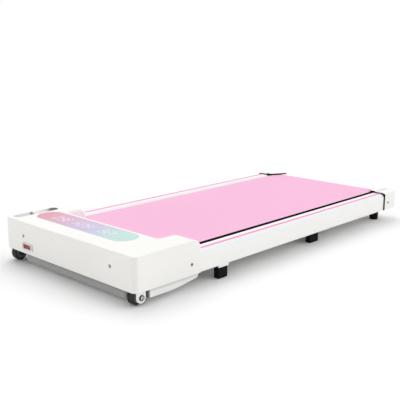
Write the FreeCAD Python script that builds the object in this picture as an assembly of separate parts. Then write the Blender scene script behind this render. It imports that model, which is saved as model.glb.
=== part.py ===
import FreeCAD
import Part
import math
import os

# Walking pad in millimetres. X runs from the motor end (-X) to the rear end (+X), Z is up from the floor,
# and the walker faces -X, so the left side is -Y. The origin is under the middle of the pad.

# Overall sizes
LENGTH = 1125.0
WIDTH = 510.0
HEIGHT = 116.0
RAIL_BOTTOM = 35.0
RAIL_HEIGHT = 52.0
BELT_MARGIN = 55.0
BELT_THICK = 2.0
BELT_DROP = 1.0

# Clearances
MOVE_GAP = 0.3
SHAFT_GAP = 0.05
SEAT_GAP = 0.1
WAY_GAP = 0.5

# Motor hood
HOOD_LENGTH = 141.0
WING_LENGTH = 62.0
WING_WIDTH = 77.5
HOOD_WALL = 3.0
HOOD_INNER_WALL = 6.6
HOOD_CORNER = 13.0
HOOD_EDGE = 4.5
HOOD_INNER_EDGE = 10.0
WING_NOSE = 22.0
WING_ROOT = 6.0
BELT_CLEAR = 3.5
BOSS_WIDTH = 11.0

# Display in the hood
DISPLAY_LEFT_MARGIN = 105.0
DISPLAY_RIGHT_MARGIN = 42.0
DISPLAY_WIDTH = 73.5
DISPLAY_FROM_FRONT = 88.5
WINDOW_THICK = 2.0
WINDOW_LEDGE = 4.0
DIGIT_GAP = 0.6
DIGIT_HEIGHT = 4.0
DIGIT_DEPTH = 34.0
DIGIT_END = 54.0
DIGIT_SPACE = 20.0
BOARD_THICK = 1.6
BOARD_END = 32.0
BOARD_LAP = 2.5
POST_WIDTH = 5.0

# Remote control tray in the hood
TRAY_LENGTH = 131.0
TRAY_WIDTH = 26.0
TRAY_DEPTH = 10.0
TRAY_WALL = 2.0
TRAY_FLANGE = 2.5
TRAY_RIB = 4.0
TRAY_RIB_DROP = 3.0
TRAY_FROM_FRONT = 79.5
TRAY_FROM_SIDE = 21.0

# Side rails
RAIL_SETBACK = 2.5
RAIL_WIDTH = 37.0
RAIL_WALL = 2.5
RAIL_ROUND = 13.0
RAIL_INNER_HEIGHT = 20.0
RAIL_RIB = 2.0
STRIPE_WIDTH = 7.6
STRIPE_FROM_SIDE = 18.6
STRIPE_DEPTH = 1.0

# Frame
TUBE_SETBACK = 3.5
TUBE_WIDTH = 28.0
TUBE_HEIGHT = 36.0
TUBE_WALL = 2.0
TUBE_FROM_FRONT = 45.0
TUBE_LAP = 4.0
MEMBER_LENGTH = 40.0
MEMBER_HEIGHT = 18.0
MEMBER_FROM_FRONT = 175.0
MEMBER_FROM_REAR = 115.0
CUSHION_HEIGHT = 4.0
CUSHION_SIZE = 30.0
CUSHION_FROM_EDGE = 50.0
DECK_THICK = 15.0
DECK_INSET = 0.5
DECK_END_GAP = 29.0
UNDER_DROP = 2.0
UNDER_SHEET = 1.5
UNDER_FLANGE = 8.0

# Rollers
ROLLER_RADIUS = 21.0
ROLLER_WALL = 2.5
ROLLER_OVERHANG = 1.5
FRONT_ROLLER_FROM_FRONT = 112.0
REAR_ROLLER_FROM_REAR = 50.0
FRONT_AXLE_RADIUS = 6.0
REAR_AXLE_RADIUS = 7.5
AXLE_SETBACK = 4.0
BEARING_WIDTH = 10.0
BEARING_SETBACK = 6.5

# Motor and drive
MOTOR_RADIUS = 30.0
MOTOR_LENGTH = 130.0
MOTOR_FROM_FRONT = 56.0
MOTOR_FROM_PULLEY = 11.5
MOTOR_FOOT_WIDTH = 36.0
MOTOR_FOOT_INSET = 22.0
MOTOR_LIFT = 1.0
SHAFT_RADIUS = 4.0
SHAFT_STUB = 1.0
FLYWHEEL_RADIUS = 27.0
FLYWHEEL_WIDTH = 12.0
FLYWHEEL_DISC = 4.0
FLYWHEEL_GAP = 4.0
FIN_COUNT = 6
FIN_THICK = 2.0
MOTOR_PULLEY_RADIUS = 10.0
ROLLER_PULLEY_RADIUS = 26.0
PULLEY_WIDTH = 12.0
PULLEY_FLANGE = 1.4
PULLEY_RIM = 2.0
PULLEY_BORE_GAP = 1.0
DRIVE_BELT_THICK = 2.4
CONTROL_FROM_SIDE = 91.0
CONTROL_LENGTH = 112.0
CONTROL_HEIGHT = 34.0
CONTROL_WALL = 2.0
CONTROL_FRONT_GAP = 12.0
CONTROL_REAR_GAP = 6.0
SINK_BASE = 4.0
SINK_FIN = 12.0
SINK_FIN_COUNT = 9

# Belly pan and motor mount plate
PAN_BOTTOM = 14.0
PAN_WALL = 2.5
PAN_INSET = 5.0
PAN_FROM_FRONT = 6.0
PAN_FLAT_LENGTH = 122.0
PAN_LENGTH = 199.0
PAN_SWEEP_RISE = 10.5
PAN_SWEEP_ROUND = 300.0
PAN_CORNER = 4.0
PAN_LEFT_GAP = 8.0
PAN_RIGHT_GAP = 50.0
PAN_WHEEL_GAP = 3.0
PAN_POST_FRONT = 66.0
PAN_POST_REAR = 150.0
PLATE_THICK = 3.0
PLATE_LIFT = 3.5
PLATE_FROM_FRONT = 19.5
PLATE_GAP = 1.5
PLATE_BELT_GAP = 2.0
TAB_LEG = 16.0
TAB_LEG_SHIFT = 4.0
TAB_HEAD = 8.0

# Transport wheels
WHEEL_RADIUS = 19.5
WHEEL_WIDTH = 18.0
WHEEL_FROM_FRONT = 22.0
WHEEL_HEIGHT = 20.5
WHEEL_FROM_SIDE = 15.0
WHEEL_SHOULDER = 2.5
WHEEL_ROOF_GAP = 5.0
HUB_RADIUS = 14.0
HUB_BOSS_RADIUS = 7.0
WHEEL_AXLE_RADIUS = 4.0
AXLE_HEAD_RADIUS = 6.5
AXLE_HEAD = 2.5
AXLE_NUT = 4.0
TAB_WIDTH = 25.0
TAB_THICK = 3.5
TAB_FROM_SIDE = 5.0

# Feet
FRONT_FOOT_FROM_FRONT = 284.0
FRONT_FOOT_LENGTH = 32.0
FRONT_FOOT_WIDTH = 17.0
FOOT_PLATE = 2.5
FOOT_FLANGE = 5.5
FOOT_MARGIN = 2.0
FOOT_CHAMFER = 1.5
MIDDLE_FOOT_FROM_REAR = 435.5
MIDDLE_FOOT_LENGTH = 39.0
MIDDLE_FOOT_WIDTH = 17.0
MIDDLE_FOOT_FROM_SIDE = 23.0
REAR_FOOT_FROM_REAR = 83.0
REAR_FOOT_FROM_SIDE = 39.0
REAR_FOOT_TOP_RADIUS = 15.0
REAR_FOOT_RADIUS = 11.0

# End caps and rear roller brackets
CAP_LENGTH = 91.0
CAP_RISE = 1.0
CAP_WALL = 3.0
CAP_FLOOR = 2.4
CAP_ROUND = 30.0
CAP_EDGE = 5.0
CAP_LEDGE = 30.0
CAP_LEDGE_GAP = 1.5
GASKET_THICK = 5.0
GASKET_SETBACK = 0.5
GASKET_CORNER = 4.0
GUARD_LIFT = 2.0
GUARD_THICK = 3.5
GUARD_REACH = 9.5
GUARD_COVER = 24.0
GUARD_SLANT = 52.5
GUARD_NOSE = 14.0
GUARD_ROOT = 2.0
GUARD_FROM_REAR = 6.0
LINER_THICK = 3.0
LINER_LIFT = 0.8
BRACKET_PLATE = 4.0
BRACKET_LENGTH = 60.0
BRACKET_HEIGHT = 35.0
BRACKET_INSET = 3.0
AXLE_TRAVEL = 12.0
AXLE_WAY_SPARE = 2.5
TENSION_RADIUS = 4.0
TENSION_HEAD = 6.5
TENSION_HEAD_LENGTH = 8.0
TENSION_SOCKET = 3.4
TENSION_SOCKET_DEPTH = 4.0
TENSION_TAIL = 14.0

# Switch and power inlet
SWITCH_FROM_SIDE = 100.0
SWITCH_HEIGHT = 54.5
SWITCH_DEPTH = 18.0
SWITCH_BACK = 3.0
BEZEL_WIDTH = 44.0
BEZEL_HEIGHT = 17.0
BEZEL_PROUD = 2.5
BEZEL_CORNER = 3.0
BEZEL_LAP = 3.0
BEZEL_LAP_HIGH = 1.0
ROCKER_WIDTH = 29.4
ROCKER_HEIGHT = 11.0
ROCKER_PROUD = 1.5
ROCKER_DIP = 1.8
ROCKER_BACK = 9.0
ROCKER_PIVOT = 4.0
ROCKER_SHOULDER = 1.0
ROCKER_PIN_RADIUS = 1.2
ROCKER_PIN_REACH = 1.0
ROCKER_ANGLE = 8.0
WELL_SPARE = 1.5
INLET_FROM_FRONT = 27.0
INLET_WIDTH = 24.0
INLET_HEIGHT = 16.0
INLET_DEPTH = 20.0
INLET_WALL = 2.5
INLET_SOCKET = 14.0
INLET_LIFT = 2.0
INLET_FLANGE = 1.5
PIN_LENGTH = 9.0
PIN_WIDTH = 4.0
PIN_THICK = 2.0
PIN_SPACING = 9.0

# Recesses for the screw heads
SCREW_RECESS_RADIUS = 4.5
SCREW_RECESS = 2.0
FRONT_SCREW_FROM_SIDE = 83.0
FRONT_SCREW_HEIGHT = 79.5
SIDE_SCREW_FROM_FRONT = 172.0
SIDE_SCREW_HEIGHT = 61.0
CAP_SCREW_FROM_REAR = 67.0
CAP_SCREW_HEIGHT = 57.0

# Places worked out from the sizes above
FRONT = -LENGTH / 2
REAR = LENGTH / 2
SIDE = WIDTH / 2
HOOD_REAR = FRONT + HOOD_LENGTH
WING_REAR = HOOD_REAR + WING_LENGTH
WING_INNER = SIDE - WING_WIDTH
CEILING = HEIGHT - HOOD_WALL
RAIL_TOP = RAIL_BOTTOM + RAIL_HEIGHT
BELT_WIDTH = WIDTH - 2 * BELT_MARGIN
RAIL_OUTER = SIDE - RAIL_SETBACK
RAIL_INNER = RAIL_OUTER - RAIL_WIDTH
CAP_FRONT = REAR - CAP_LENGTH + GASKET_THICK
RAIL_START = WING_REAR + MOVE_GAP
RAIL_END = CAP_FRONT - GASKET_THICK
BELT_TOP = RAIL_TOP - BELT_DROP
DECK_TOP = BELT_TOP - BELT_THICK
BELT_RADIUS = ROLLER_RADIUS + MOVE_GAP
BELT_OUTER = BELT_RADIUS + BELT_THICK
ROLLER_Z = DECK_TOP - BELT_RADIUS
FRONT_ROLLER_X = FRONT + FRONT_ROLLER_FROM_FRONT
REAR_ROLLER_X = REAR - REAR_ROLLER_FROM_REAR
ROLLER_END = BELT_WIDTH / 2 + ROLLER_OVERHANG
ROLLER_BORE = ROLLER_RADIUS - ROLLER_WALL
TUBE_INNER = RAIL_INNER + TUBE_SETBACK
TUBE_OUTER = TUBE_INNER + TUBE_WIDTH
TUBE_MIDDLE = (TUBE_INNER + TUBE_OUTER) / 2
TUBE_BOTTOM = RAIL_BOTTOM + RAIL_WALL
TUBE_TOP = TUBE_BOTTOM + TUBE_HEIGHT
TUBE_FRONT = FRONT + TUBE_FROM_FRONT
TUBE_REAR = CAP_FRONT + TUBE_LAP
AXLE_END = TUBE_OUTER - AXLE_SETBACK
MEMBER_X1 = FRONT + MEMBER_FROM_FRONT
MEMBER_X3 = REAR - MEMBER_FROM_REAR
MEMBER_X2 = (MEMBER_X1 + MEMBER_X3) / 2
MEMBER_TOP = DECK_TOP - DECK_THICK - CUSHION_HEIGHT
MEMBER_BOTTOM = MEMBER_TOP - MEMBER_HEIGHT
PAN_FRONT = FRONT + PAN_FROM_FRONT
PAN_REAR = FRONT + PAN_LENGTH
PLATE_BOTTOM = PAN_BOTTOM + PAN_WALL + PLATE_LIFT
PLATE_TOP = PLATE_BOTTOM + PLATE_THICK
PLATE_FRONT = FRONT + PLATE_FROM_FRONT
PLATE_REAR = FRONT_ROLLER_X - BELT_OUTER - PLATE_BELT_GAP
MOTOR_X = FRONT + MOTOR_FROM_FRONT
MOTOR_Z = PLATE_TOP + MOTOR_RADIUS + MOTOR_LIFT
PULLEY_INNER = -ROLLER_END
PULLEY_OUTER = PULLEY_INNER - PULLEY_WIDTH
MOTOR_OUTER_END = PULLEY_INNER + MOTOR_FROM_PULLEY
MOTOR_INNER_END = MOTOR_OUTER_END + MOTOR_LENGTH
FLYWHEEL_START = MOTOR_INNER_END + FLYWHEEL_GAP
FLYWHEEL_END = FLYWHEEL_START + FLYWHEEL_WIDTH
CONTROL_Y1 = SIDE - CONTROL_FROM_SIDE
CONTROL_Y0 = CONTROL_Y1 - CONTROL_LENGTH
CONTROL_X0 = PLATE_FRONT + CONTROL_FRONT_GAP
CONTROL_X1 = PLATE_REAR - CONTROL_REAR_GAP
CONTROL_TOP = PLATE_TOP + CONTROL_HEIGHT
WHEEL_X = FRONT + WHEEL_FROM_FRONT
WHEEL_OUTER = SIDE - WHEEL_FROM_SIDE
WHEEL_INNER = WHEEL_OUTER - WHEEL_WIDTH
WHEEL_ROOF = WHEEL_HEIGHT + WHEEL_RADIUS + WHEEL_ROOF_GAP
TAB_OUTER = SIDE - TAB_FROM_SIDE
TAB_INNER = TAB_OUTER - TAB_THICK
NUT_FACE = WHEEL_INNER - MOVE_GAP
CAP_TOP = RAIL_TOP + CAP_RISE
GUARD_LOW = BELT_TOP + GUARD_LIFT
GUARD_HIGH = GUARD_LOW + GUARD_THICK
GUARD_START = RAIL_INNER - GUARD_REACH
GUARD_TIP = BELT_WIDTH / 2 - GUARD_COVER
GUARD_SLANT_END = CAP_FRONT + GUARD_SLANT
BRACKET_REAR = TUBE_REAR + BRACKET_LENGTH
BRACKET_INNER = TUBE_INNER + BRACKET_INSET
BRACKET_LOW = ROLLER_Z - BRACKET_HEIGHT / 2
BRACKET_HIGH = ROLLER_Z + BRACKET_HEIGHT / 2
BRACKET_MIDDLE = (BRACKET_INNER + TUBE_OUTER) / 2
DISPLAY_LENGTH = WIDTH - DISPLAY_LEFT_MARGIN - DISPLAY_RIGHT_MARGIN
DISPLAY_Y = (DISPLAY_LEFT_MARGIN - DISPLAY_RIGHT_MARGIN) / 2
DISPLAY_X = FRONT + DISPLAY_FROM_FRONT
BOARD_TOP = HEIGHT - WINDOW_THICK - DIGIT_GAP - DIGIT_HEIGHT
BOARD_HALF = DISPLAY_LENGTH / 2 - BOARD_END
TRAY_X = FRONT + TRAY_FROM_FRONT
TRAY_Y = SIDE - TRAY_FROM_SIDE
TRAY_FLOOR = HEIGHT - TRAY_DEPTH
INLET_X = FRONT + INLET_FROM_FRONT
INLET_Z = WHEEL_ROOF + TAB_THICK + INLET_LIFT + INLET_HEIGHT / 2
INLET_BACK = SIDE - INLET_SOCKET
SWITCH_Y = SIDE - SWITCH_FROM_SIDE
ROCKER_X = FRONT + ROCKER_PIVOT
FRONT_SCREW_Y = SIDE - FRONT_SCREW_FROM_SIDE
SIDE_SCREW_X = FRONT + SIDE_SCREW_FROM_FRONT
CAP_SCREW_X = REAR - CAP_SCREW_FROM_REAR

# Small overlaps used only inside one part, so that cuts and joins meet cleanly
OVER = 1.0
NEAR = 1e-3


def vec(x, y, z):
    return FreeCAD.Vector(x, y, z)


def block(x0, x1, y0, y1, z0, z1):
    return Part.makeBox(x1 - x0, y1 - y0, z1 - z0, vec(x0, y0, z0))


def rod_x(x0, x1, y, z, radius):
    return Part.makeCylinder(radius, x1 - x0, vec(x0, y, z), vec(1, 0, 0))


def rod_y(y0, y1, x, z, radius):
    return Part.makeCylinder(radius, y1 - y0, vec(x, y0, z), vec(0, 1, 0))


def rod_z(z0, z1, x, y, radius):
    return Part.makeCylinder(radius, z1 - z0, vec(x, y, z0), vec(0, 0, 1))


def mirrored(shape):
    return shape.mirror(vec(0, 0, 0), vec(0, 1, 0))


def both_sides(shape):
    return Part.makeCompound([shape, mirrored(shape)])


def save(name, shape):
    shape.exportStep("parts/" + name + ".step")


def save_pair(name, right_shape):
    save(name + "_right", right_shape)
    save(name + "_left", mirrored(right_shape))


# Face bounded by straight lines, with the corner at each (u, v, radius) rounded to its radius
def rounded_face(corners, place):
    points = [place(u, v) for u, v, radius in corners]
    count = len(corners)
    edges = []
    starts = []
    ends = []
    for i in range(count):
        corner = points[i]
        back = (points[i - 1] - corner).normalize()
        ahead = (points[(i + 1) % count] - corner).normalize()
        radius = corners[i][2]
        half = back.getAngle(ahead) / 2
        reach = radius / math.tan(half)
        start = corner + back * reach
        end = corner + ahead * reach
        starts.append(start)
        ends.append(end)
        if radius > 0:
            middle = (back + ahead).normalize() * (radius / math.sin(half) - radius)
            edges.append(Part.Arc(start, corner + middle, end).toShape())
    for i in range(count):
        following = starts[(i + 1) % count]
        if (following - ends[i]).Length > 1e-6:
            edges.append(Part.makeLine(ends[i], following))
    return Part.Face(Part.Wire(Part.__sortEdges__(edges)))


def plan_prism(corners, z0, z1):
    face = rounded_face(corners, lambda x, y: vec(x, y, z0))
    return face.extrude(vec(0, 0, z1 - z0))


def side_prism(corners, y0, y1):
    face = rounded_face(corners, lambda x, z: vec(x, y0, z))
    return face.extrude(vec(0, y1 - y0, 0))


def end_prism(corners, x0, x1):
    face = rounded_face(corners, lambda y, z: vec(x0, y, z))
    return face.extrude(vec(x1 - x0, 0, 0))


# Six-sided rod along a direction in the level plane, from the middle of its first end
def hexagon_rod(start, along, radius, length):
    across = vec(-along.y, along.x, 0)
    points = []
    for i in range(7):
        turn = math.radians(60 * i)
        points.append(start + across * (radius * math.cos(turn)) + vec(0, 0, radius * math.sin(turn)))
    return Part.Face(Part.makePolygon(points)).extrude(along * length)


# Upright stadium round a middle point, long along X or along Y
def capsule(x, y, long_x, long_y, z0, z1):
    radius = min(long_x, long_y) / 2 - NEAR
    half_x = long_x / 2
    half_y = long_y / 2
    corners = [
        (x - half_x, y - half_y, radius),
        (x + half_x, y - half_y, radius),
        (x + half_x, y + half_y, radius),
        (x - half_x, y + half_y, radius),
    ]
    return plan_prism(corners, z0, z1)


# Hollow steel tube of the frame, with a hole in its inner wall for the front axle
def frame_tube():
    tube = block(TUBE_FRONT, TUBE_REAR, TUBE_INNER, TUBE_OUTER, TUBE_BOTTOM, TUBE_TOP)
    hollow = block(
        TUBE_FRONT - OVER,
        TUBE_REAR + OVER,
        TUBE_INNER + TUBE_WALL,
        TUBE_OUTER - TUBE_WALL,
        TUBE_BOTTOM + TUBE_WALL,
        TUBE_TOP - TUBE_WALL,
    )
    hole = rod_y(TUBE_INNER - OVER, AXLE_END, FRONT_ROLLER_X, ROLLER_Z, FRONT_AXLE_RADIUS + SHAFT_GAP)
    return tube.cut([hollow, hole])


# Cross member under the deck, butted between the frame tubes
def cross_member(middle):
    x0 = middle - MEMBER_LENGTH / 2
    x1 = x0 + MEMBER_LENGTH
    tube = block(x0, x1, -TUBE_INNER, TUBE_INNER, MEMBER_BOTTOM, MEMBER_TOP)
    hollow = block(
        x0 + TUBE_WALL,
        x1 - TUBE_WALL,
        -TUBE_INNER - OVER,
        TUBE_INNER + OVER,
        MEMBER_BOTTOM + TUBE_WALL,
        MEMBER_TOP - TUBE_WALL,
    )
    return tube.cut(hollow)


# Folded steel tray between the frame tubes, with upright tabs behind the hood's front bosses
def motor_mount_plate():
    wide_front = WHEEL_X + WHEEL_RADIUS + PAN_WHEEL_GAP + PAN_WALL + PLATE_GAP
    narrow = WHEEL_INNER - PAN_RIGHT_GAP - PAN_WALL - PLATE_GAP
    floor = block(PLATE_FRONT, wide_front, -narrow, narrow, PLATE_BOTTOM, PLATE_TOP)
    floor = floor.fuse(block(wide_front, PLATE_REAR, -TUBE_INNER, TUBE_INNER, PLATE_BOTTOM, PLATE_TOP))
    flange_low = TUBE_INNER - PLATE_THICK
    flange_top = (TUBE_BOTTOM + TUBE_TOP) / 2
    flange = block(wide_front, PLATE_REAR, flange_low, TUBE_INNER, PLATE_BOTTOM, flange_top)
    leg_outer = FRONT_SCREW_Y - TAB_LEG_SHIFT
    leg_inner = leg_outer - TAB_LEG
    head_low = FRONT_SCREW_HEIGHT - TAB_HEAD
    head_high = FRONT_SCREW_HEIGHT + TAB_HEAD
    tab_corners = [
        (leg_inner, PLATE_BOTTOM, 0),
        (leg_outer, PLATE_BOTTOM, 0),
        (leg_outer, head_low, 0),
        (FRONT_SCREW_Y + TAB_HEAD, head_low, 0),
        (FRONT_SCREW_Y + TAB_HEAD, head_high, 0),
        (leg_inner, head_high, 0),
    ]
    tab = end_prism(tab_corners, PLATE_FRONT, PLATE_FRONT + PLATE_THICK)
    plate = floor.fuse([flange, mirrored(flange), tab, mirrored(tab)])
    return plate.removeSplitter()


# White rail: a C profile that wraps the frame tube, with ribs on the tube and a groove for the stripe
def side_rail():
    skin = [
        (RAIL_INNER, RAIL_BOTTOM, 0),
        (RAIL_OUTER, RAIL_BOTTOM, RAIL_WALL / 2),
        (RAIL_OUTER, RAIL_TOP, RAIL_ROUND),
        (RAIL_INNER, RAIL_TOP, RAIL_WALL / 2),
    ]
    hollow = [
        (RAIL_INNER + RAIL_WALL, RAIL_BOTTOM + RAIL_WALL, 0),
        (RAIL_OUTER - RAIL_WALL, RAIL_BOTTOM + RAIL_WALL, 0),
        (RAIL_OUTER - RAIL_WALL, RAIL_TOP - RAIL_WALL, RAIL_ROUND - RAIL_WALL),
        (RAIL_INNER + RAIL_WALL, RAIL_TOP - RAIL_WALL, 0),
    ]
    rail = end_prism(skin, RAIL_START, RAIL_END)
    rail = rail.cut(end_prism(hollow, RAIL_START - OVER, RAIL_END + OVER))
    open_side = block(
        RAIL_START - OVER,
        RAIL_END + OVER,
        RAIL_INNER - OVER,
        TUBE_INNER,
        RAIL_BOTTOM - OVER,
        RAIL_TOP - RAIL_INNER_HEIGHT,
    )
    rail = rail.cut(open_side)
    for y in (TUBE_INNER + RAIL_WALL, TUBE_OUTER - RAIL_ROUND / 2):
        rail = rail.fuse(block(RAIL_START, RAIL_END, y, y + RAIL_RIB, TUBE_TOP, RAIL_TOP - RAIL_WALL))
    return rail.cut(stripe_block(SEAT_GAP, OVER)).removeSplitter()


def stripe_block(spare, proud):
    middle = SIDE - STRIPE_FROM_SIDE
    half = STRIPE_WIDTH / 2 + spare
    low = RAIL_TOP - STRIPE_DEPTH
    return block(RAIL_START, RAIL_END, middle - half, middle + half, low, RAIL_TOP + proud)


def deck_board():
    half = BELT_WIDTH / 2 - DECK_INSET
    x0 = FRONT_ROLLER_X + DECK_END_GAP
    x1 = REAR_ROLLER_X - DECK_END_GAP
    return block(x0, x1, -half, half, DECK_TOP - DECK_THICK, DECK_TOP)


# Rubber pads between the cross members and the deck
def deck_cushions():
    half = CUSHION_SIZE / 2
    y = BELT_WIDTH / 2 - CUSHION_FROM_EDGE
    pads = []
    for x in (MEMBER_X1, MEMBER_X2, MEMBER_X3):
        pad = block(x - half, x + half, y - half, y + half, MEMBER_TOP, MEMBER_TOP + CUSHION_HEIGHT)
        pads += [pad, mirrored(pad)]
    return Part.makeCompound(pads)


# Sheet tray that closes the frame below the belt's lower run
def under_cover():
    x0 = PAN_REAR + MOVE_GAP
    x1 = MEMBER_X3 + MEMBER_LENGTH / 2
    top = ROLLER_Z - BELT_OUTER - UNDER_DROP
    low = top - UNDER_SHEET
    sheet = block(x0, x1, -TUBE_INNER, TUBE_INNER, low, top)
    flange = block(x0, x1, TUBE_INNER - UNDER_SHEET, TUBE_INNER, low, top + UNDER_FLANGE)
    return sheet.fuse([flange, mirrored(flange)]).removeSplitter()


# Loop round two wheels of one radius each, seen from the side
def loop_wire(x1, z1, radius1, x2, z2, radius2, y):
    run = vec(x2 - x1, 0, z2 - z1)
    along = vec(run.x, run.y, run.z).normalize()
    up = vec(-along.z, 0, along.x)
    lean = (radius1 - radius2) / run.Length
    rise = math.sqrt(1 - lean * lean)
    high = along * lean + up * rise
    low = along * lean - up * rise
    centre1 = vec(x1, y, z1)
    centre2 = vec(x2, y, z2)
    edges = [
        Part.makeLine(centre1 + high * radius1, centre2 + high * radius2),
        Part.Arc(centre2 + high * radius2, centre2 + along * radius2, centre2 + low * radius2).toShape(),
        Part.makeLine(centre2 + low * radius2, centre1 + low * radius1),
        Part.Arc(centre1 + low * radius1, centre1 - along * radius1, centre1 + high * radius1).toShape(),
    ]
    return Part.Wire(edges)


# Endless flat belt round two wheels, from y0 over a width
def flat_belt(x1, z1, radius1, x2, z2, radius2, thick, y0, width):
    loops = []
    for extra in (thick, 0.0):
        wire = loop_wire(x1, z1, radius1 + extra, x2, z2, radius2 + extra, y0)
        loops.append(Part.Face(wire).extrude(vec(0, width, 0)))
    return loops[0].cut(loops[1])


def walking_belt():
    return flat_belt(
        FRONT_ROLLER_X,
        ROLLER_Z,
        BELT_RADIUS,
        REAR_ROLLER_X,
        ROLLER_Z,
        BELT_RADIUS,
        BELT_THICK,
        -BELT_WIDTH / 2,
        BELT_WIDTH,
    )


def roller_tube(x):
    tube = rod_y(-ROLLER_END, ROLLER_END, x, ROLLER_Z, ROLLER_RADIUS)
    return tube.cut(rod_y(-ROLLER_END - OVER, ROLLER_END + OVER, x, ROLLER_Z, ROLLER_BORE))


def roller_bearings(x, axle_radius):
    end = ROLLER_END - BEARING_SETBACK
    ring = rod_y(end - BEARING_WIDTH, end, x, ROLLER_Z, ROLLER_BORE)
    ring = ring.cut(rod_y(end - BEARING_WIDTH - OVER, end + OVER, x, ROLLER_Z, axle_radius + SHAFT_GAP))
    return both_sides(ring)


def front_roller_axle():
    return rod_y(-AXLE_END, AXLE_END, FRONT_ROLLER_X, ROLLER_Z, FRONT_AXLE_RADIUS)


# Rear axle with a cross hole at each end for its tension bolt
def rear_roller_axle():
    axle = rod_y(-TUBE_OUTER, TUBE_OUTER, REAR_ROLLER_X, ROLLER_Z, REAR_AXLE_RADIUS)
    hole_start = REAR_ROLLER_X - REAR_AXLE_RADIUS - OVER
    hole_end = REAR_ROLLER_X + REAR_AXLE_RADIUS + OVER
    hole = rod_x(hole_start, hole_end, BRACKET_MIDDLE, ROLLER_Z, TENSION_RADIUS + MOVE_GAP)
    return axle.cut([hole, mirrored(hole)])


# Two plates and an end plate that carry the rear axle in slots
def rear_roller_bracket():
    shell = block(TUBE_REAR, BRACKET_REAR, BRACKET_INNER, TUBE_OUTER, BRACKET_LOW, BRACKET_HIGH)
    inside = block(
        TUBE_REAR - OVER,
        BRACKET_REAR - BRACKET_PLATE,
        BRACKET_INNER + BRACKET_PLATE,
        TUBE_OUTER - BRACKET_PLATE,
        BRACKET_LOW - OVER,
        BRACKET_HIGH + OVER,
    )
    slot_half = REAR_AXLE_RADIUS + SHAFT_GAP
    slot = block(
        REAR_ROLLER_X - AXLE_TRAVEL,
        REAR_ROLLER_X + AXLE_TRAVEL,
        BRACKET_INNER - OVER,
        TUBE_OUTER + OVER,
        ROLLER_Z - slot_half,
        ROLLER_Z + slot_half,
    )
    hole_start = BRACKET_REAR - BRACKET_PLATE - OVER
    hole = rod_x(hole_start, BRACKET_REAR + OVER, BRACKET_MIDDLE, ROLLER_Z, TENSION_RADIUS + MOVE_GAP)
    return shell.cut([inside, slot, hole])


# Socket head bolt that draws the rear axle back
def tension_bolt():
    head_start = BRACKET_REAR + MOVE_GAP
    head_end = head_start + TENSION_HEAD_LENGTH
    shank = rod_x(REAR_ROLLER_X - TENSION_TAIL, head_start, BRACKET_MIDDLE, ROLLER_Z, TENSION_RADIUS)
    head = rod_x(head_start, head_end, BRACKET_MIDDLE, ROLLER_Z, TENSION_HEAD)
    bottom = vec(head_end - TENSION_SOCKET_DEPTH, BRACKET_MIDDLE, ROLLER_Z)
    socket = hexagon_rod(bottom, vec(1, 0, 0), TENSION_SOCKET, TENSION_SOCKET_DEPTH + OVER)
    return shank.fuse(head).cut(socket).removeSplitter()


# Motor can on a flat foot, bored for its shaft
def motor_casing():
    can = rod_y(MOTOR_OUTER_END, MOTOR_INNER_END, MOTOR_X, MOTOR_Z, MOTOR_RADIUS)
    half = MOTOR_FOOT_WIDTH / 2
    foot_start = MOTOR_OUTER_END + MOTOR_FOOT_INSET
    foot_end = MOTOR_INNER_END - MOTOR_FOOT_INSET
    foot = block(MOTOR_X - half, MOTOR_X + half, foot_start, foot_end, PLATE_TOP, MOTOR_Z)
    bore = rod_y(MOTOR_OUTER_END - OVER, MOTOR_INNER_END + OVER, MOTOR_X, MOTOR_Z, SHAFT_RADIUS + SHAFT_GAP)
    return can.fuse(foot).cut(bore).removeSplitter()


def motor_shaft():
    return rod_y(PULLEY_OUTER - SHAFT_STUB, FLYWHEEL_END + SHAFT_STUB, MOTOR_X, MOTOR_Z, SHAFT_RADIUS)


# Finned disc on the inner end of the motor shaft
def motor_flywheel():
    fin_start = FLYWHEEL_START + FLYWHEEL_DISC
    wheel = rod_y(FLYWHEEL_START, fin_start, MOTOR_X, MOTOR_Z, FLYWHEEL_RADIUS)
    hub_radius = 2 * SHAFT_RADIUS
    hub = rod_y(fin_start, FLYWHEEL_END, MOTOR_X, MOTOR_Z, hub_radius)
    half = FIN_THICK / 2
    fin_low = MOTOR_Z + hub_radius - OVER
    fin_high = MOTOR_Z + FLYWHEEL_RADIUS - FIN_THICK
    fin = block(MOTOR_X - half, MOTOR_X + half, fin_start, FLYWHEEL_END, fin_low, fin_high)
    fins = []
    for i in range(FIN_COUNT):
        blade = fin.copy()
        blade.rotate(vec(MOTOR_X, 0, MOTOR_Z), vec(0, 1, 0), 360 * i / FIN_COUNT)
        fins.append(blade)
    bore = rod_y(FLYWHEEL_START - OVER, FLYWHEEL_END + OVER, MOTOR_X, MOTOR_Z, SHAFT_RADIUS + SHAFT_GAP / 2)
    return wheel.fuse([hub] + fins).cut(bore).removeSplitter()


# Plain drive pulley of the roller, with a spigot inside the roller end
def roller_pulley():
    spigot_end = PULLEY_INNER + BEARING_SETBACK
    wheel = rod_y(PULLEY_OUTER, PULLEY_INNER, FRONT_ROLLER_X, ROLLER_Z, ROLLER_PULLEY_RADIUS)
    spigot = rod_y(PULLEY_INNER, spigot_end, FRONT_ROLLER_X, ROLLER_Z, ROLLER_BORE - SEAT_GAP)
    bore_radius = FRONT_AXLE_RADIUS + PULLEY_BORE_GAP
    bore = rod_y(PULLEY_OUTER - OVER, spigot_end + OVER, FRONT_ROLLER_X, ROLLER_Z, bore_radius)
    return wheel.fuse(spigot).cut(bore).removeSplitter()


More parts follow.
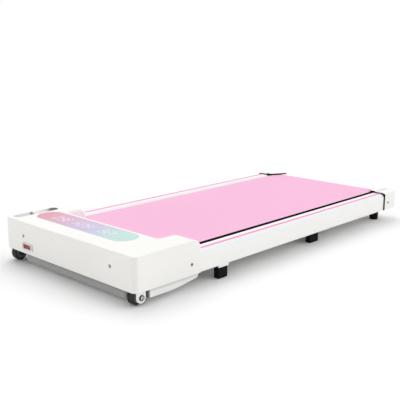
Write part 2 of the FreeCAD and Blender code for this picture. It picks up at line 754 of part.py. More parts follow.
# Motor pulley with a rim at each side of the band that the drive belt runs on
def motor_pulley():
    wheel = rod_y(PULLEY_OUTER, PULLEY_INNER, MOTOR_X, MOTOR_Z, MOTOR_PULLEY_RADIUS + PULLEY_RIM)
    band_start = PULLEY_OUTER + PULLEY_FLANGE
    band_end = PULLEY_INNER - PULLEY_FLANGE
    band = rod_y(band_start, band_end, MOTOR_X, MOTOR_Z, MOTOR_PULLEY_RADIUS + PULLEY_RIM + OVER)
    band = band.cut(rod_y(band_start, band_end, MOTOR_X, MOTOR_Z, MOTOR_PULLEY_RADIUS))
    bore = rod_y(PULLEY_OUTER - OVER, PULLEY_INNER + OVER, MOTOR_X, MOTOR_Z, SHAFT_RADIUS + SHAFT_GAP / 2)
    return wheel.cut([band, bore])


def drive_belt():
    start = PULLEY_OUTER + PULLEY_FLANGE + MOVE_GAP
    width = PULLEY_WIDTH - 2 * (PULLEY_FLANGE + MOVE_GAP)
    return flat_belt(
        MOTOR_X,
        MOTOR_Z,
        MOTOR_PULLEY_RADIUS + MOVE_GAP,
        FRONT_ROLLER_X,
        ROLLER_Z,
        ROLLER_PULLEY_RADIUS + MOVE_GAP,
        DRIVE_BELT_THICK,
        start,
        width,
    )


def control_box():
    box = block(CONTROL_X0, CONTROL_X1, CONTROL_Y0, CONTROL_Y1, PLATE_TOP, CONTROL_TOP)
    inside = block(
        CONTROL_X0 + CONTROL_WALL,
        CONTROL_X1 - CONTROL_WALL,
        CONTROL_Y0 + CONTROL_WALL,
        CONTROL_Y1 - CONTROL_WALL,
        PLATE_TOP + CONTROL_WALL,
        CONTROL_TOP + OVER,
    )
    return box.cut(inside)


# Finned aluminium lid of the control box
def control_heat_sink():
    base_top = CONTROL_TOP + SINK_BASE
    sink = block(CONTROL_X0, CONTROL_X1, CONTROL_Y0, CONTROL_Y1, CONTROL_TOP, base_top)
    fins = []
    for i in range(SINK_FIN_COUNT):
        y = CONTROL_Y0 + (CONTROL_LENGTH - CONTROL_WALL) * i / (SINK_FIN_COUNT - 1)
        fins.append(block(CONTROL_X0, CONTROL_X1, y, y + CONTROL_WALL, base_top, base_top + SINK_FIN))
    return sink.fuse(fins).removeSplitter()


# Greatest distance of an edge from the middle of the pad
def reach_of(edge):
    return max(abs(edge.BoundBox.YMin), abs(edge.BoundBox.YMax))


# Edges of a solid that a test of their box and reach picks
def picked(shape, test):
    return [edge for edge in shape.Edges if test(edge.BoundBox, reach_of(edge))]


# Winged block with rounded noses, inset by the outer wall and by the wall beside the belt
def hood_block(wall, inner_wall):
    bottom = RAIL_BOTTOM - wall
    top = HEIGHT - wall
    front = FRONT + wall
    side = SIDE - wall
    rear = HOOD_REAR - inner_wall
    wing = WING_INNER + inner_wall
    tip = WING_REAR - wall
    plan = [
        (front, -side, HOOD_CORNER - wall),
        (tip, -side, 0),
        (tip, -wing, 0),
        (rear, -wing, WING_ROOT + inner_wall),
        (rear, wing, WING_ROOT + inner_wall),
        (tip, wing, 0),
        (tip, side, 0),
        (front, side, HOOD_CORNER - wall),
    ]
    form = plan_prism(plan, bottom, top)
    noses = picked(form, lambda box, reach: box.XMin > tip - NEAR and box.ZMin > top - NEAR)
    return form.makeFillet(WING_NOSE - wall, noses)


# Outer form of the hood: the winged block with its inner and outer top edges rounded
def hood_form():
    nose = WING_REAR - WING_NOSE
    form = hood_block(0, 0)

    def on_top_or_nose(box):
        on_top = box.ZMin > HEIGHT - NEAR
        on_nose = box.YLength < NEAR and box.XMin > nose - NEAR and box.ZMax > RAIL_BOTTOM + NEAR
        return on_top or on_nose

    def is_inner(box, reach):
        return reach < WING_INNER + NEAR and box.XMin > HOOD_REAR - NEAR and on_top_or_nose(box)

    def is_outer(box, reach):
        outside = box.XMax < FRONT + NEAR or reach > SIDE - NEAR
        return outside and on_top_or_nose(box) and box.XMax < WING_REAR + NEAR

    form = form.makeFillet(HOOD_INNER_EDGE, picked(form, is_inner))
    return form.makeFillet(HOOD_EDGE, picked(form, is_outer))


# Recess for a screw head that is sunk into an outer face, along the way the screw goes in
def screw_recess(face_point, inward):
    start = face_point - inward * OVER
    return Part.makeCylinder(SCREW_RECESS_RADIUS, SCREW_RECESS + OVER, start, inward)


# Moulded hood: shell with wings, window recess, bosses and openings
def motor_hood():
    hood = hood_form().cut(hood_block(HOOD_WALL, HOOD_INNER_WALL))
    half = BOSS_WIDTH / 2
    inside = HOOD_WALL - OVER
    front_boss = block(
        FRONT + inside,
        PLATE_FRONT,
        FRONT_SCREW_Y - half,
        FRONT_SCREW_Y + half,
        FRONT_SCREW_HEIGHT - half,
        FRONT_SCREW_HEIGHT + half,
    )
    side_boss = block(
        SIDE_SCREW_X - half,
        SIDE_SCREW_X + half,
        TUBE_OUTER,
        SIDE - inside,
        SIDE_SCREW_HEIGHT - half,
        SIDE_SCREW_HEIGHT + half,
    )
    add = [front_boss, mirrored(front_boss), side_boss, mirrored(side_boss)]
    hood = hood.fuse(add + board_posts())
    under_belt = block(
        FRONT_ROLLER_X - BELT_OUTER,
        WING_REAR + OVER,
        WAY_GAP - TUBE_INNER,
        TUBE_INNER - WAY_GAP,
        RAIL_BOTTOM - OVER,
        BELT_TOP + BELT_CLEAR,
    )
    tube_way = block(
        WING_REAR - HOOD_WALL - WING_NOSE,
        WING_REAR + OVER,
        TUBE_INNER - WAY_GAP,
        TUBE_OUTER + WAY_GAP,
        RAIL_BOTTOM - OVER,
        TUBE_TOP + WAY_GAP,
    )
    front_recess = screw_recess(vec(FRONT, FRONT_SCREW_Y, FRONT_SCREW_HEIGHT), vec(1, 0, 0))
    side_recess = screw_recess(vec(SIDE_SCREW_X, SIDE, SIDE_SCREW_HEIGHT), vec(0, -1, 0))
    cuts = [under_belt]
    for way in (tube_way, front_recess, side_recess):
        cuts += [way, mirrored(way)]
    cuts += [window_recess(), window_opening(), switch_opening(), inlet_opening()]
    cuts.append(tray_outline(TRAY_WALL + SEAT_GAP, CEILING - OVER, HEIGHT + OVER))
    return hood.cut(cuts).removeSplitter()


# Posts that hang from the hood and hold the display board
def board_posts():
    half = POST_WIDTH / 2
    posts = []
    for x in (-1, 1):
        for y in (-1, 1):
            middle_x = DISPLAY_X + x * (DISPLAY_WIDTH / 2 - WINDOW_LEDGE + half + WAY_GAP)
            middle_y = DISPLAY_Y + y * (BOARD_HALF - POST_WIDTH)
            posts.append(
                block(
                    middle_x - half,
                    middle_x + half,
                    middle_y - half,
                    middle_y + half,
                    BOARD_TOP,
                    CEILING + WAY_GAP,
                )
            )
    return posts


def window_recess():
    spare = 2 * SEAT_GAP
    low = HEIGHT - WINDOW_THICK
    return capsule(DISPLAY_X, DISPLAY_Y, DISPLAY_WIDTH + spare, DISPLAY_LENGTH + spare, low, HEIGHT + OVER)


def window_opening():
    width = DISPLAY_WIDTH - 2 * WINDOW_LEDGE
    length = DISPLAY_LENGTH - 2 * WINDOW_LEDGE
    return capsule(DISPLAY_X, DISPLAY_Y, width, length, CEILING - OVER, HEIGHT)


def display_window():
    return capsule(DISPLAY_X, DISPLAY_Y, DISPLAY_WIDTH, DISPLAY_LENGTH, HEIGHT - WINDOW_THICK, HEIGHT)


def display_board():
    half_x = DISPLAY_WIDTH / 2 + BOARD_LAP
    low = DISPLAY_Y - BOARD_HALF
    high = DISPLAY_Y + BOARD_HALF
    return block(DISPLAY_X - half_x, DISPLAY_X + half_x, low, high, BOARD_TOP - BOARD_THICK, BOARD_TOP)


# Three digit blocks in a row on the board, under the window
def display_digits():
    row = DISPLAY_LENGTH - 2 * DIGIT_END
    length = (row - 2 * DIGIT_SPACE) / 3
    start = DISPLAY_Y - row / 2
    half = DIGIT_DEPTH / 2
    digits = []
    for i in range(3):
        y = start + i * (length + DIGIT_SPACE)
        digits.append(
            block(DISPLAY_X - half, DISPLAY_X + half, y, y + length, BOARD_TOP, BOARD_TOP + DIGIT_HEIGHT)
        )
    return Part.makeCompound(digits)


# Plan of the remote tray, grown by a margin all round
def tray_outline(margin, z0, z1):
    return capsule(TRAY_X, TRAY_Y, TRAY_LENGTH + 2 * margin, TRAY_WIDTH + 2 * margin, z0, z1)


# Tray for the remote, hung under the hood's top by its flange and parted by a low rib
def remote_tray():
    top = HEIGHT - MOVE_GAP
    tray = tray_outline(TRAY_WALL, TRAY_FLOOR - TRAY_WALL, top)
    flange_x = TRAY_LENGTH / 2
    flange_y = TRAY_WIDTH / 2 + TRAY_WALL + TRAY_FLANGE
    flange = block(
        TRAY_X - flange_x,
        TRAY_X + flange_x,
        TRAY_Y - flange_y,
        TRAY_Y + flange_y,
        CEILING - TRAY_FLANGE,
        CEILING,
    )
    tray = tray.fuse(flange)
    pocket = tray_outline(0, TRAY_FLOOR, HEIGHT + OVER)
    half = TRAY_RIB / 2
    rib = block(
        TRAY_X - half,
        TRAY_X + half,
        TRAY_Y - TRAY_WIDTH,
        TRAY_Y + TRAY_WIDTH,
        TRAY_FLOOR - OVER,
        top - TRAY_RIB_DROP,
    )
    return tray.cut(pocket.cut(rib)).removeSplitter()


# Pan under the motor, with wheel notches in front and a bottom that sweeps up to the rear
def pan_form(inset):
    front = PAN_FRONT + inset
    side = SIDE - PAN_INSET - inset
    notch_x = WHEEL_X + WHEEL_RADIUS + PAN_WHEEL_GAP + inset
    left = PAN_LEFT_GAP - WHEEL_INNER + inset
    right = WHEEL_INNER - PAN_RIGHT_GAP - inset
    rear = PAN_REAR - inset
    bottom = PAN_BOTTOM + inset
    top = TUBE_BOTTOM + inset
    plan = [
        (front, left, PAN_CORNER),
        (notch_x, left, 0),
        (notch_x, -side, PAN_CORNER),
        (rear, -side, 0),
        (rear, side, 0),
        (notch_x, side, PAN_CORNER),
        (notch_x, right, 0),
        (front, right, PAN_CORNER),
    ]
    profile = [
        (front - OVER, top, 0),
        (front - OVER, bottom, 0),
        (FRONT + PAN_FLAT_LENGTH, bottom, PAN_SWEEP_ROUND),
        (PAN_REAR - PAN_CORNER, bottom + PAN_SWEEP_RISE, 0),
        (rear + OVER, top, 0),
    ]
    return plan_prism(plan, bottom - OVER, top).common(side_prism(profile, -side - OVER, side + OVER))


def belly_pan():
    outer = pan_form(0)
    pan = outer.cut(pan_form(PAN_WALL))
    half = BOSS_WIDTH / 2
    posts = []
    for from_front in (PAN_POST_FRONT, PAN_POST_REAR):
        x = FRONT + from_front
        y = TUBE_MIDDLE
        post = block(x - half, x + half, y - half, y + half, PAN_BOTTOM, TUBE_BOTTOM).common(outer)
        posts += [post, mirrored(post)]
    return pan.fuse(posts).removeSplitter()


# White bracket on the end of the frame tube, with one tab outside the transport wheel
def wheel_bracket():
    half = TAB_WIDTH / 2
    roof_top = WHEEL_ROOF + TAB_THICK
    tab_corners = [
        (WHEEL_X - half, WHEEL_HEIGHT - half, half - NEAR),
        (WHEEL_X + half, WHEEL_HEIGHT - half, half - NEAR),
        (WHEEL_X + half, roof_top, 0),
        (WHEEL_X - half, roof_top, 0),
    ]
    tab = side_prism(tab_corners, TAB_INNER, TAB_OUTER)
    roof = block(WHEEL_X - half, TUBE_FRONT, TUBE_INNER, TAB_OUTER, WHEEL_ROOF, roof_top)
    back = block(TUBE_FRONT - TAB_THICK, TUBE_FRONT, TUBE_INNER, TUBE_OUTER, WHEEL_ROOF, TUBE_TOP)
    hole = rod_y(TAB_INNER - OVER, TAB_OUTER + OVER, WHEEL_X, WHEEL_HEIGHT, WHEEL_AXLE_RADIUS + SHAFT_GAP)
    return tab.fuse([roof, back]).cut(hole).removeSplitter()


# Shoulder bolt with its head outside the tab and a nut inside the wheel
def wheel_axle():
    shank = rod_y(NUT_FACE, TAB_OUTER, WHEEL_X, WHEEL_HEIGHT, WHEEL_AXLE_RADIUS)
    head = rod_y(TAB_OUTER, TAB_OUTER + AXLE_HEAD, WHEEL_X, WHEEL_HEIGHT, AXLE_HEAD_RADIUS)
    nut_start = vec(WHEEL_X, NUT_FACE - AXLE_NUT, WHEEL_HEIGHT)
    nut = hexagon_rod(nut_start, vec(0, 1, 0), AXLE_HEAD_RADIUS, AXLE_NUT)
    return shank.fuse([head, nut]).removeSplitter()


# Tyre with bevelled shoulders, as a turned profile
def wheel_tyre():
    bore = WHEEL_HEIGHT + HUB_RADIUS
    crown = WHEEL_HEIGHT + WHEEL_RADIUS
    profile = [
        (WHEEL_INNER, bore),
        (WHEEL_OUTER, bore),
        (WHEEL_OUTER, crown - WHEEL_SHOULDER),
        (WHEEL_OUTER - WHEEL_SHOULDER, crown),
        (WHEEL_INNER + WHEEL_SHOULDER, crown),
        (WHEEL_INNER, crown - WHEEL_SHOULDER),
        (WHEEL_INNER, bore),
    ]
    outline = Part.makePolygon([vec(WHEEL_X, y, z) for y, z in profile])
    return Part.Face(outline).revolve(vec(WHEEL_X, 0, WHEEL_HEIGHT), vec(0, 1, 0), 360)


# Hub with a boss that runs out to the tab
def wheel_hub():
    hub = rod_y(WHEEL_INNER, WHEEL_OUTER, WHEEL_X, WHEEL_HEIGHT, HUB_RADIUS)
    boss = rod_y(WHEEL_OUTER, TAB_INNER - MOVE_GAP, WHEEL_X, WHEEL_HEIGHT, HUB_BOSS_RADIUS)
    bore = rod_y(NUT_FACE, TAB_OUTER, WHEEL_X, WHEEL_HEIGHT, WHEEL_AXLE_RADIUS + SHAFT_GAP)
    return hub.fuse(boss).cut(bore).removeSplitter()


def front_foot_brackets():
    half = FRONT_FOOT_LENGTH / 2 + FOOT_MARGIN
    x0 = FRONT + FRONT_FOOT_FROM_FRONT - half
    x1 = FRONT + FRONT_FOOT_FROM_FRONT + half
    inner = TUBE_MIDDLE - FRONT_FOOT_WIDTH / 2
    roof = block(x0, x1, inner, RAIL_OUTER, RAIL_BOTTOM - FOOT_PLATE, RAIL_BOTTOM)
    flange = block(x0, x1, RAIL_OUTER - FOOT_PLATE, RAIL_OUTER, RAIL_BOTTOM - FOOT_FLANGE, RAIL_BOTTOM)
    return both_sides(roof.fuse(flange).removeSplitter())


# Block foot with its lower edges bevelled
def foot_block(middle, length, outer, width, top):
    half = length / 2
    foot = block(middle - half, middle + half, outer - width, outer, 0, top)
    return foot.makeChamfer(FOOT_CHAMFER, [edge for edge in foot.Edges if edge.BoundBox.ZMax < NEAR])


def front_feet():
    outer = RAIL_OUTER - FOOT_PLATE
    top = RAIL_BOTTOM - FOOT_PLATE
    middle = FRONT + FRONT_FOOT_FROM_FRONT
    return both_sides(foot_block(middle, FRONT_FOOT_LENGTH, outer, FRONT_FOOT_WIDTH, top))


def middle_feet():
    outer = SIDE - MIDDLE_FOOT_FROM_SIDE
    middle = REAR - MIDDLE_FOOT_FROM_REAR
    return both_sides(foot_block(middle, MIDDLE_FOOT_LENGTH, outer, MIDDLE_FOOT_WIDTH, RAIL_BOTTOM))


def rear_feet():
    place = vec(REAR - REAR_FOOT_FROM_REAR, SIDE - REAR_FOOT_FROM_SIDE, 0)
    return both_sides(Part.makeCone(REAR_FOOT_RADIUS, REAR_FOOT_TOP_RADIUS, RAIL_BOTTOM, place))


# Plan of the end cap, inset by a wall for its hollow
def cap_form(inset, z0, z1):
    front = CAP_FRONT - inset
    plan = [
        (front, RAIL_INNER + inset, 0),
        (REAR - inset, RAIL_INNER + inset, 0),
        (REAR - inset, SIDE - inset, CAP_ROUND - inset),
        (front, SIDE - inset, 0),
    ]
    return plan_prism(plan, z0, z1)


# Guard of the end cap that slants in over the belt's edge
def cap_guard():
    back = REAR - GUARD_FROM_REAR
    root = RAIL_INNER + GUARD_ROOT
    plan = [
        (CAP_FRONT, GUARD_START, 0),
        (GUARD_SLANT_END, GUARD_TIP, 0),
        (GUARD_SLANT_END + GUARD_NOSE, GUARD_TIP, GUARD_NOSE / 2),
        (back, GUARD_START, GUARD_NOSE / 2),
        (back, root, 0),
        (CAP_FRONT, root, 0),
    ]
    plate = plan_prism(plan, GUARD_LOW, GUARD_HIGH)
    return plate.fuse(block(CAP_FRONT, back, RAIL_INNER, root, CAP_TOP - CAP_WALL, GUARD_HIGH))


# End cap with a rounded rear corner, a guard beside the belt and ways for the axle and tension bolt
def end_cap():
    cap = cap_form(0, RAIL_BOTTOM, CAP_TOP)

    def is_rim(box, reach):
        on_top = box.ZMin > CAP_TOP - NEAR
        return on_top and box.XLength > NEAR and reach > SIDE - NEAR

    def is_back(box, reach):
        return box.ZMin > CAP_TOP - NEAR and box.XMin > REAR - NEAR

    rim = picked(cap, is_rim) + picked(cap, is_back)
    cap = cap.makeFillet(CAP_EDGE, rim)
    cap = cap.cut(cap_form(CAP_WALL, RAIL_BOTTOM + CAP_FLOOR, CAP_TOP - CAP_WALL))
    ledge = block(
        CAP_FRONT,
        CAP_FRONT + CAP_LEDGE,
        ROLLER_END + CAP_LEDGE_GAP,
        RAIL_INNER + OVER,
        RAIL_BOTTOM,
        RAIL_BOTTOM + CAP_FLOOR,
    )
    half = BOSS_WIDTH / 2
    boss = block(
        CAP_SCREW_X - half,
        CAP_SCREW_X + half,
        TUBE_OUTER,
        SIDE - CAP_WALL + OVER,
        CAP_SCREW_HEIGHT - half,
        CAP_SCREW_HEIGHT + half,
    )
    cap = cap.fuse([ledge, boss, cap_guard()])
    recess = screw_recess(vec(CAP_SCREW_X, SIDE, CAP_SCREW_HEIGHT), vec(0, -1, 0))
    key_way = rod_x(BRACKET_REAR, REAR + OVER, BRACKET_MIDDLE, ROLLER_Z, TENSION_HEAD + AXLE_WAY_SPARE)
    return cap.cut([recess, axle_way(), key_way]).removeSplitter()


# Way through the cap's inner wall for the rear axle and its travel
def axle_way():
    half_x = AXLE_TRAVEL + REAR_AXLE_RADIUS
    half_z = REAR_AXLE_RADIUS + AXLE_WAY_SPARE
    return block(
        REAR_ROLLER_X - half_x,
        REAR_ROLLER_X + half_x,
        RAIL_INNER - OVER,
        RAIL_INNER + CAP_WALL + OVER,
        ROLLER_Z - half_z,
        ROLLER_Z + half_z,
    )


# Black gasket between rail and cap, with a strip along the edge of the guard
def end_cap_gasket():
    outer = SIDE - GASKET_SETBACK
    top = CAP_TOP - GASKET_SETBACK
    skin = [
        (RAIL_INNER, RAIL_BOTTOM, 0),
        (outer, RAIL_BOTTOM, 0),
        (outer, top, GASKET_CORNER),
        (RAIL_INNER, top, 0),
    ]
    plate = end_prism(skin, RAIL_END, CAP_FRONT)
    tube_way = block(
        RAIL_END - OVER,
        CAP_FRONT + OVER,
        TUBE_INNER - WAY_GAP,
        TUBE_OUTER + WAY_GAP,
        TUBE_BOTTOM - WAY_GAP,
        TUBE_TOP + WAY_GAP,
    )
    strip_low = BELT_TOP + LINER_LIFT
    strip_start = GUARD_START - LINER_THICK
    post = block(RAIL_END, CAP_FRONT, strip_start, RAIL_INNER + GUARD_ROOT, strip_low, GUARD_HIGH)
    strip_plan = [
        (CAP_FRONT - OVER, strip_start, 0),
        (GUARD_SLANT_END, GUARD_TIP - LINER_THICK, 0),
        (GUARD_SLANT_END, GUARD_TIP, 0),
        (CAP_FRONT, GUARD_START, 0),
        (CAP_FRONT - OVER, GUARD_START, 0),
    ]
    strip = plan_prism(strip_plan, strip_low, GUARD_HIGH)
    return plate.cut(tube_way).fuse([post, strip]).removeSplitter()


# Switch frame with a bezel on the hood's front and a well for the rocker
def power_switch_housing():
    half = BEZEL_WIDTH / 2
    high = BEZEL_HEIGHT / 2
    bezel_corners = [
        (SWITCH_Y - half, SWITCH_HEIGHT - high, BEZEL_CORNER),
        (SWITCH_Y + half, SWITCH_HEIGHT - high, BEZEL_CORNER),
        (SWITCH_Y + half, SWITCH_HEIGHT + high, BEZEL_CORNER),
        (SWITCH_Y - half, SWITCH_HEIGHT + high, BEZEL_CORNER),
    ]
    frame = end_prism(bezel_corners, FRONT - BEZEL_PROUD, FRONT)
    body = switch_body(FRONT, FRONT + SWITCH_DEPTH, 0)
    well_half = ROCKER_WIDTH / 2 + WELL_SPARE
    well_high = ROCKER_HEIGHT / 2 + MOVE_GAP
    well = block(
        FRONT - BEZEL_PROUD - OVER,
        FRONT + SWITCH_DEPTH - SWITCH_BACK,
        SWITCH_Y - well_half,
        SWITCH_Y + well_half,
        SWITCH_HEIGHT - well_high,
        SWITCH_HEIGHT + well_high,
    )
    pin_reach = ROCKER_HEIGHT / 2 + ROCKER_PIN_REACH + MOVE_GAP
    pin_low = SWITCH_HEIGHT - pin_reach
    pin_high = SWITCH_HEIGHT + pin_reach
    pivot = rod_z(pin_low, pin_high, ROCKER_X, SWITCH_Y, ROCKER_PIN_RADIUS + SHAFT_GAP)
    return frame.fuse(body).cut([well, pivot]).removeSplitter()


# Box of the switch behind its bezel, grown by a margin
def switch_body(x0, x1, margin):
    half = BEZEL_WIDTH / 2 - BEZEL_LAP + margin
    high = BEZEL_HEIGHT / 2 - BEZEL_LAP_HIGH + margin
    return block(x0, x1, SWITCH_Y - half, SWITCH_Y + half, SWITCH_HEIGHT - high, SWITCH_HEIGHT + high)


def switch_opening():
    return switch_body(FRONT - OVER, FRONT + HOOD_WALL + OVER, SEAT_GAP)


# Rocker with a dip in its face, resting with its left end pressed in
def power_rocker():
    half = ROCKER_WIDTH / 2
    face = FRONT - ROCKER_PROUD
    shoulder = ROCKER_X + ROCKER_SHOULDER
    plan = [
        (face, SWITCH_Y - half, 0),
        (face + ROCKER_DIP, SWITCH_Y, half),
        (face, SWITCH_Y + half, 0),
        (shoulder, SWITCH_Y + half - WELL_SPARE, 0),
        (FRONT + ROCKER_BACK, SWITCH_Y, 0),
        (shoulder, SWITCH_Y - half + WELL_SPARE, 0),
    ]
    high = ROCKER_HEIGHT / 2
    rocker = plan_prism(plan, SWITCH_HEIGHT - high, SWITCH_HEIGHT + high)
    pin_low = SWITCH_HEIGHT - high - ROCKER_PIN_REACH
    pin_high = SWITCH_HEIGHT + high + ROCKER_PIN_REACH
    rocker = rocker.fuse(rod_z(pin_low, pin_high, ROCKER_X, SWITCH_Y, ROCKER_PIN_RADIUS)).removeSplitter()
    rocker.rotate(vec(ROCKER_X, SWITCH_Y, 0), vec(0, 0, 1), ROCKER_ANGLE)
    return rocker


# Upright box round the inlet's middle in the side of the hood
def inlet_box(margin, y0, y1):
    half = INLET_WIDTH / 2 + margin
    high = INLET_HEIGHT / 2 + margin
    return block(INLET_X - half, INLET_X + half, y0, y1, INLET_Z - high, INLET_Z + high)


def inlet_opening():
    return inlet_box(SEAT_GAP, SIDE - HOOD_WALL - OVER, SIDE + OVER)


# Inlet socket in the right side of the hood, with a flange inside the hood wall
def power_inlet():
    inner = SIDE - HOOD_WALL
    inlet = inlet_box(0, SIDE - INLET_DEPTH, SIDE)
    inlet = inlet.fuse(inlet_box(INLET_FLANGE, inner - INLET_FLANGE, inner))
    return inlet.cut(inlet_box(-INLET_WALL, INLET_BACK, SIDE + OVER)).removeSplitter()


def power_inlet_pins():
    half = PIN_THICK / 2
    low = INLET_Z - PIN_WIDTH / 2
    pins = []
    for shift in (-PIN_SPACING / 2, PIN_SPACING / 2):
        x = INLET_X + shift
        pins.append(block(x - half, x + half, INLET_BACK, INLET_BACK + PIN_LENGTH, low, low + PIN_WIDTH))
    return Part.makeCompound(pins)


def main():
    os.makedirs("parts", exist_ok=True)
    save_pair("frame_tube", frame_tube())
    save("cross_member_front", cross_member(MEMBER_X1))
    save("cross_member_middle", cross_member(MEMBER_X2))
    save("cross_member_rear", cross_member(MEMBER_X3))
    save("motor_mount_plate", motor_mount_plate())
    save_pair("side_rail", side_rail())
    save_pair("rail_stripe", stripe_block(0, SEAT_GAP))
    save("deck_board", deck_board())
    save("deck_cushions", deck_cushions())
    save("under_cover", under_cover())
    save("walking_belt", walking_belt())
    save("front_roller_axle", front_roller_axle())
    save("front_roller_tube", roller_tube(FRONT_ROLLER_X))
    save("front_roller_bearings", roller_bearings(FRONT_ROLLER_X, FRONT_AXLE_RADIUS))
    save("roller_pulley", roller_pulley())
    save("rear_roller_axle", rear_roller_axle())
    save("rear_roller_tube", roller_tube(REAR_ROLLER_X))
    save("rear_roller_bearings", roller_bearings(REAR_ROLLER_X, REAR_AXLE_RADIUS))
    save_pair("rear_roller_bracket", rear_roller_bracket())
    save_pair("tension_bolt", tension_bolt())
    save("motor_casing", motor_casing())
    save("motor_shaft", motor_shaft())
    save("motor_flywheel", motor_flywheel())
    save("motor_pulley", motor_pulley())
    save("drive_belt", drive_belt())
    save("control_box", control_box())
    save("control_heat_sink", control_heat_sink())
    save("motor_hood", motor_hood())
    save("display_window", display_window())
    save("display_board", display_board())
    save("display_digits", display_digits())
    save("remote_tray", remote_tray())
    save("belly_pan", belly_pan())
    save_pair("wheel_bracket", wheel_bracket())
    save_pair("wheel_axle", wheel_axle())
    save_pair("wheel_tyre", wheel_tyre())
    save_pair("wheel_hub", wheel_hub())
    save("front_foot_brackets", front_foot_brackets())
    save("front_feet", front_feet())
    save("middle_feet", middle_feet())
    save("rear_feet", rear_feet())
    save_pair("end_cap", end_cap())
    save_pair("end_cap_gasket", end_cap_gasket())
    save("power_switch_housing", power_switch_housing())
    save("power_rocker", power_rocker())
    save("power_inlet", power_inlet())
    save("power_inlet_pins", power_inlet_pins())


main()
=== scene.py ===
import math
import bmesh
import bpy
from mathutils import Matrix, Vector


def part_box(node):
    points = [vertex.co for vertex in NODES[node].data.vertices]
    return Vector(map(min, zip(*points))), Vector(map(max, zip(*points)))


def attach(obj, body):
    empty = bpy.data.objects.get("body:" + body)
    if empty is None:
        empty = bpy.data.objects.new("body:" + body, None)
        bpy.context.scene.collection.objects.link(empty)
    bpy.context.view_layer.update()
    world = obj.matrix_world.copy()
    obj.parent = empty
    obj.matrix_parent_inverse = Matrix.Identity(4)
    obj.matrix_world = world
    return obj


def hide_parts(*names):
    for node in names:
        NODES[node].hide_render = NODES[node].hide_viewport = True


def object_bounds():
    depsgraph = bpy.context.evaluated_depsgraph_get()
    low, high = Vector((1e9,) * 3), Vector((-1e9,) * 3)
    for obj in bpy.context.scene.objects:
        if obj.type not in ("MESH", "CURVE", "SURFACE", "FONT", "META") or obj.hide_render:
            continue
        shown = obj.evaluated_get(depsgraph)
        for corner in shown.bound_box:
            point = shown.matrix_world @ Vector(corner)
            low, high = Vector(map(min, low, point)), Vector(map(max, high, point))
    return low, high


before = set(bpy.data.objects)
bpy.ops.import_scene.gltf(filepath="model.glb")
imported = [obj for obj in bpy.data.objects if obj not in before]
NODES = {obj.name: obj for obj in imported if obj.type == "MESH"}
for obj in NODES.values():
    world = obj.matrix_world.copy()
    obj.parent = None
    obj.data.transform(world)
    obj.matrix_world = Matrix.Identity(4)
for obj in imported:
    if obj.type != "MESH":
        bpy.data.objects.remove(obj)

# Dressed walking pad in metres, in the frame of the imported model.
# X runs from the motor end to the rear end, Z is up, and the walker faces -X.

CAD_LOW, CAD_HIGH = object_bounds()
SIDES = ("left", "right")

# Camera at the photograph's place
CAMERA_PLACE = (-1.4672, -1.3193, 0.5627)
CAMERA_PITCH = 13.025
CAMERA_YAW = -46.016
CAMERA_LENS = 62.604
CAMERA_SENSOR = 36.0

# Levels and directions of the light
SKY_LOW = 0.34
SKY_TOP = 0.12
SIDE_GLOW = 1.46
FRONT_GLOW = 1.00
NEAR_DIP = -0.40
SIDE_GLOW_FROM = (0.60, -0.76, 0.25)
FRONT_GLOW_FROM = (-0.85, 0.45, 0.25)
NEAR_DIP_FROM = (-0.72, -0.69, 0.10)
GLOW_POWER = 2.0
KEY_LEVEL = 1.18
KEY_SPREAD = 50.0
KEY_AIM = (-0.50, -0.72, -1.0)
FLOOR_TONE = 0.96
FLOOR_DARK_SHARE = 0.995
FLOOR_HALF = 14.0

# Angle beyond which two faces meet in a sharp edge
SHARP_ANGLE = 35

# Belt
BELT_THICK = 0.002
BELT_CHAMFER = 0.0004
BELT_CHAMFER_DROP = 0.0006
BELT_ARC_STEPS = 24
BELT_RUN_STEPS = 40
BELT_SHARP_ANGLE = 40

# Window and its numbers
LENS_SINK = 0.0003
LENS_RIM = 0.0006
LENS_RIM_STEPS = 4
LENS_END_STEPS = 40
DIGIT_WIDTH = 0.0135
DIGIT_HEIGHT = 0.026
DIGIT_PITCH = 0.0215
DIGIT_SLANT = 0.22
DIGIT_STROKE_HALF = 0.0011
DIGIT_POINT_GAP = 0.25
DIGIT_SHOULDER_GAP = 1.25
DIGIT_LIFT = 0.00015
NUMBER_GROUPS = ((-0.094, "128"), (-0.002, "1504"), (0.092, "360"))
SEGMENTS = {
    "0": "abcdef", "1": "bc", "2": "abged", "3": "abgcd", "4": "fgbc",
    "5": "afgcd", "6": "afgedc", "7": "abc", "8": "abcdefg", "9": "abcdfg",
}

# Wheels and their bolts
TYRE_SHOULDER = 0.0042
TYRE_SHOULDER_STEPS = 6
TYRE_WALL_RISE = 0.0008
TYRE_STEPS = 72
TYRE_GROOVES = 3
GROOVE_WIDTH = 0.0012
GROOVE_DEPTH = 0.0007
GROOVE_FLARE = 1.4
DOME_HEIGHT = 0.0013
DOME_INSET = 0.0021
DOME_SOCKET = 0.0015
DOME_SOCKET_TAPER = 0.97
DOME_PROFILE = ((1.0, 0.0), (0.99, 0.35), (0.90, 0.75), (0.74, 1.0))

# Screws, and their places as the CAD part has their seats
FASTENER_STEPS = 48
SCREW_RADIUS = 0.0036
SCREW_HEAD = 0.0016
SCREW_RECESS = 0.0009
SCREW_ARM_SHARE = 0.13
SCREW_REACH_SHARE = 0.56
SCREW_RINGS = (1.0, 0.97, 0.9, 0.8, 0.68, 0.56, 0.44, 0.32, 0.2, 0.1)
SCREW_CROWN = 0.96
SCREW_CROWN_POWER = 4
FRONT_SCREW_Y = 0.172
FRONT_SCREW_Z = 0.0795
SIDE_SCREW = (-0.3905, 0.061)
CAP_SCREW = (0.4955, 0.057)
PAN_SCREWS_X = (-0.4965, -0.4125)
PAN_SCREW_Y = 0.233
SEAT_SEARCH_REACH = 1.0

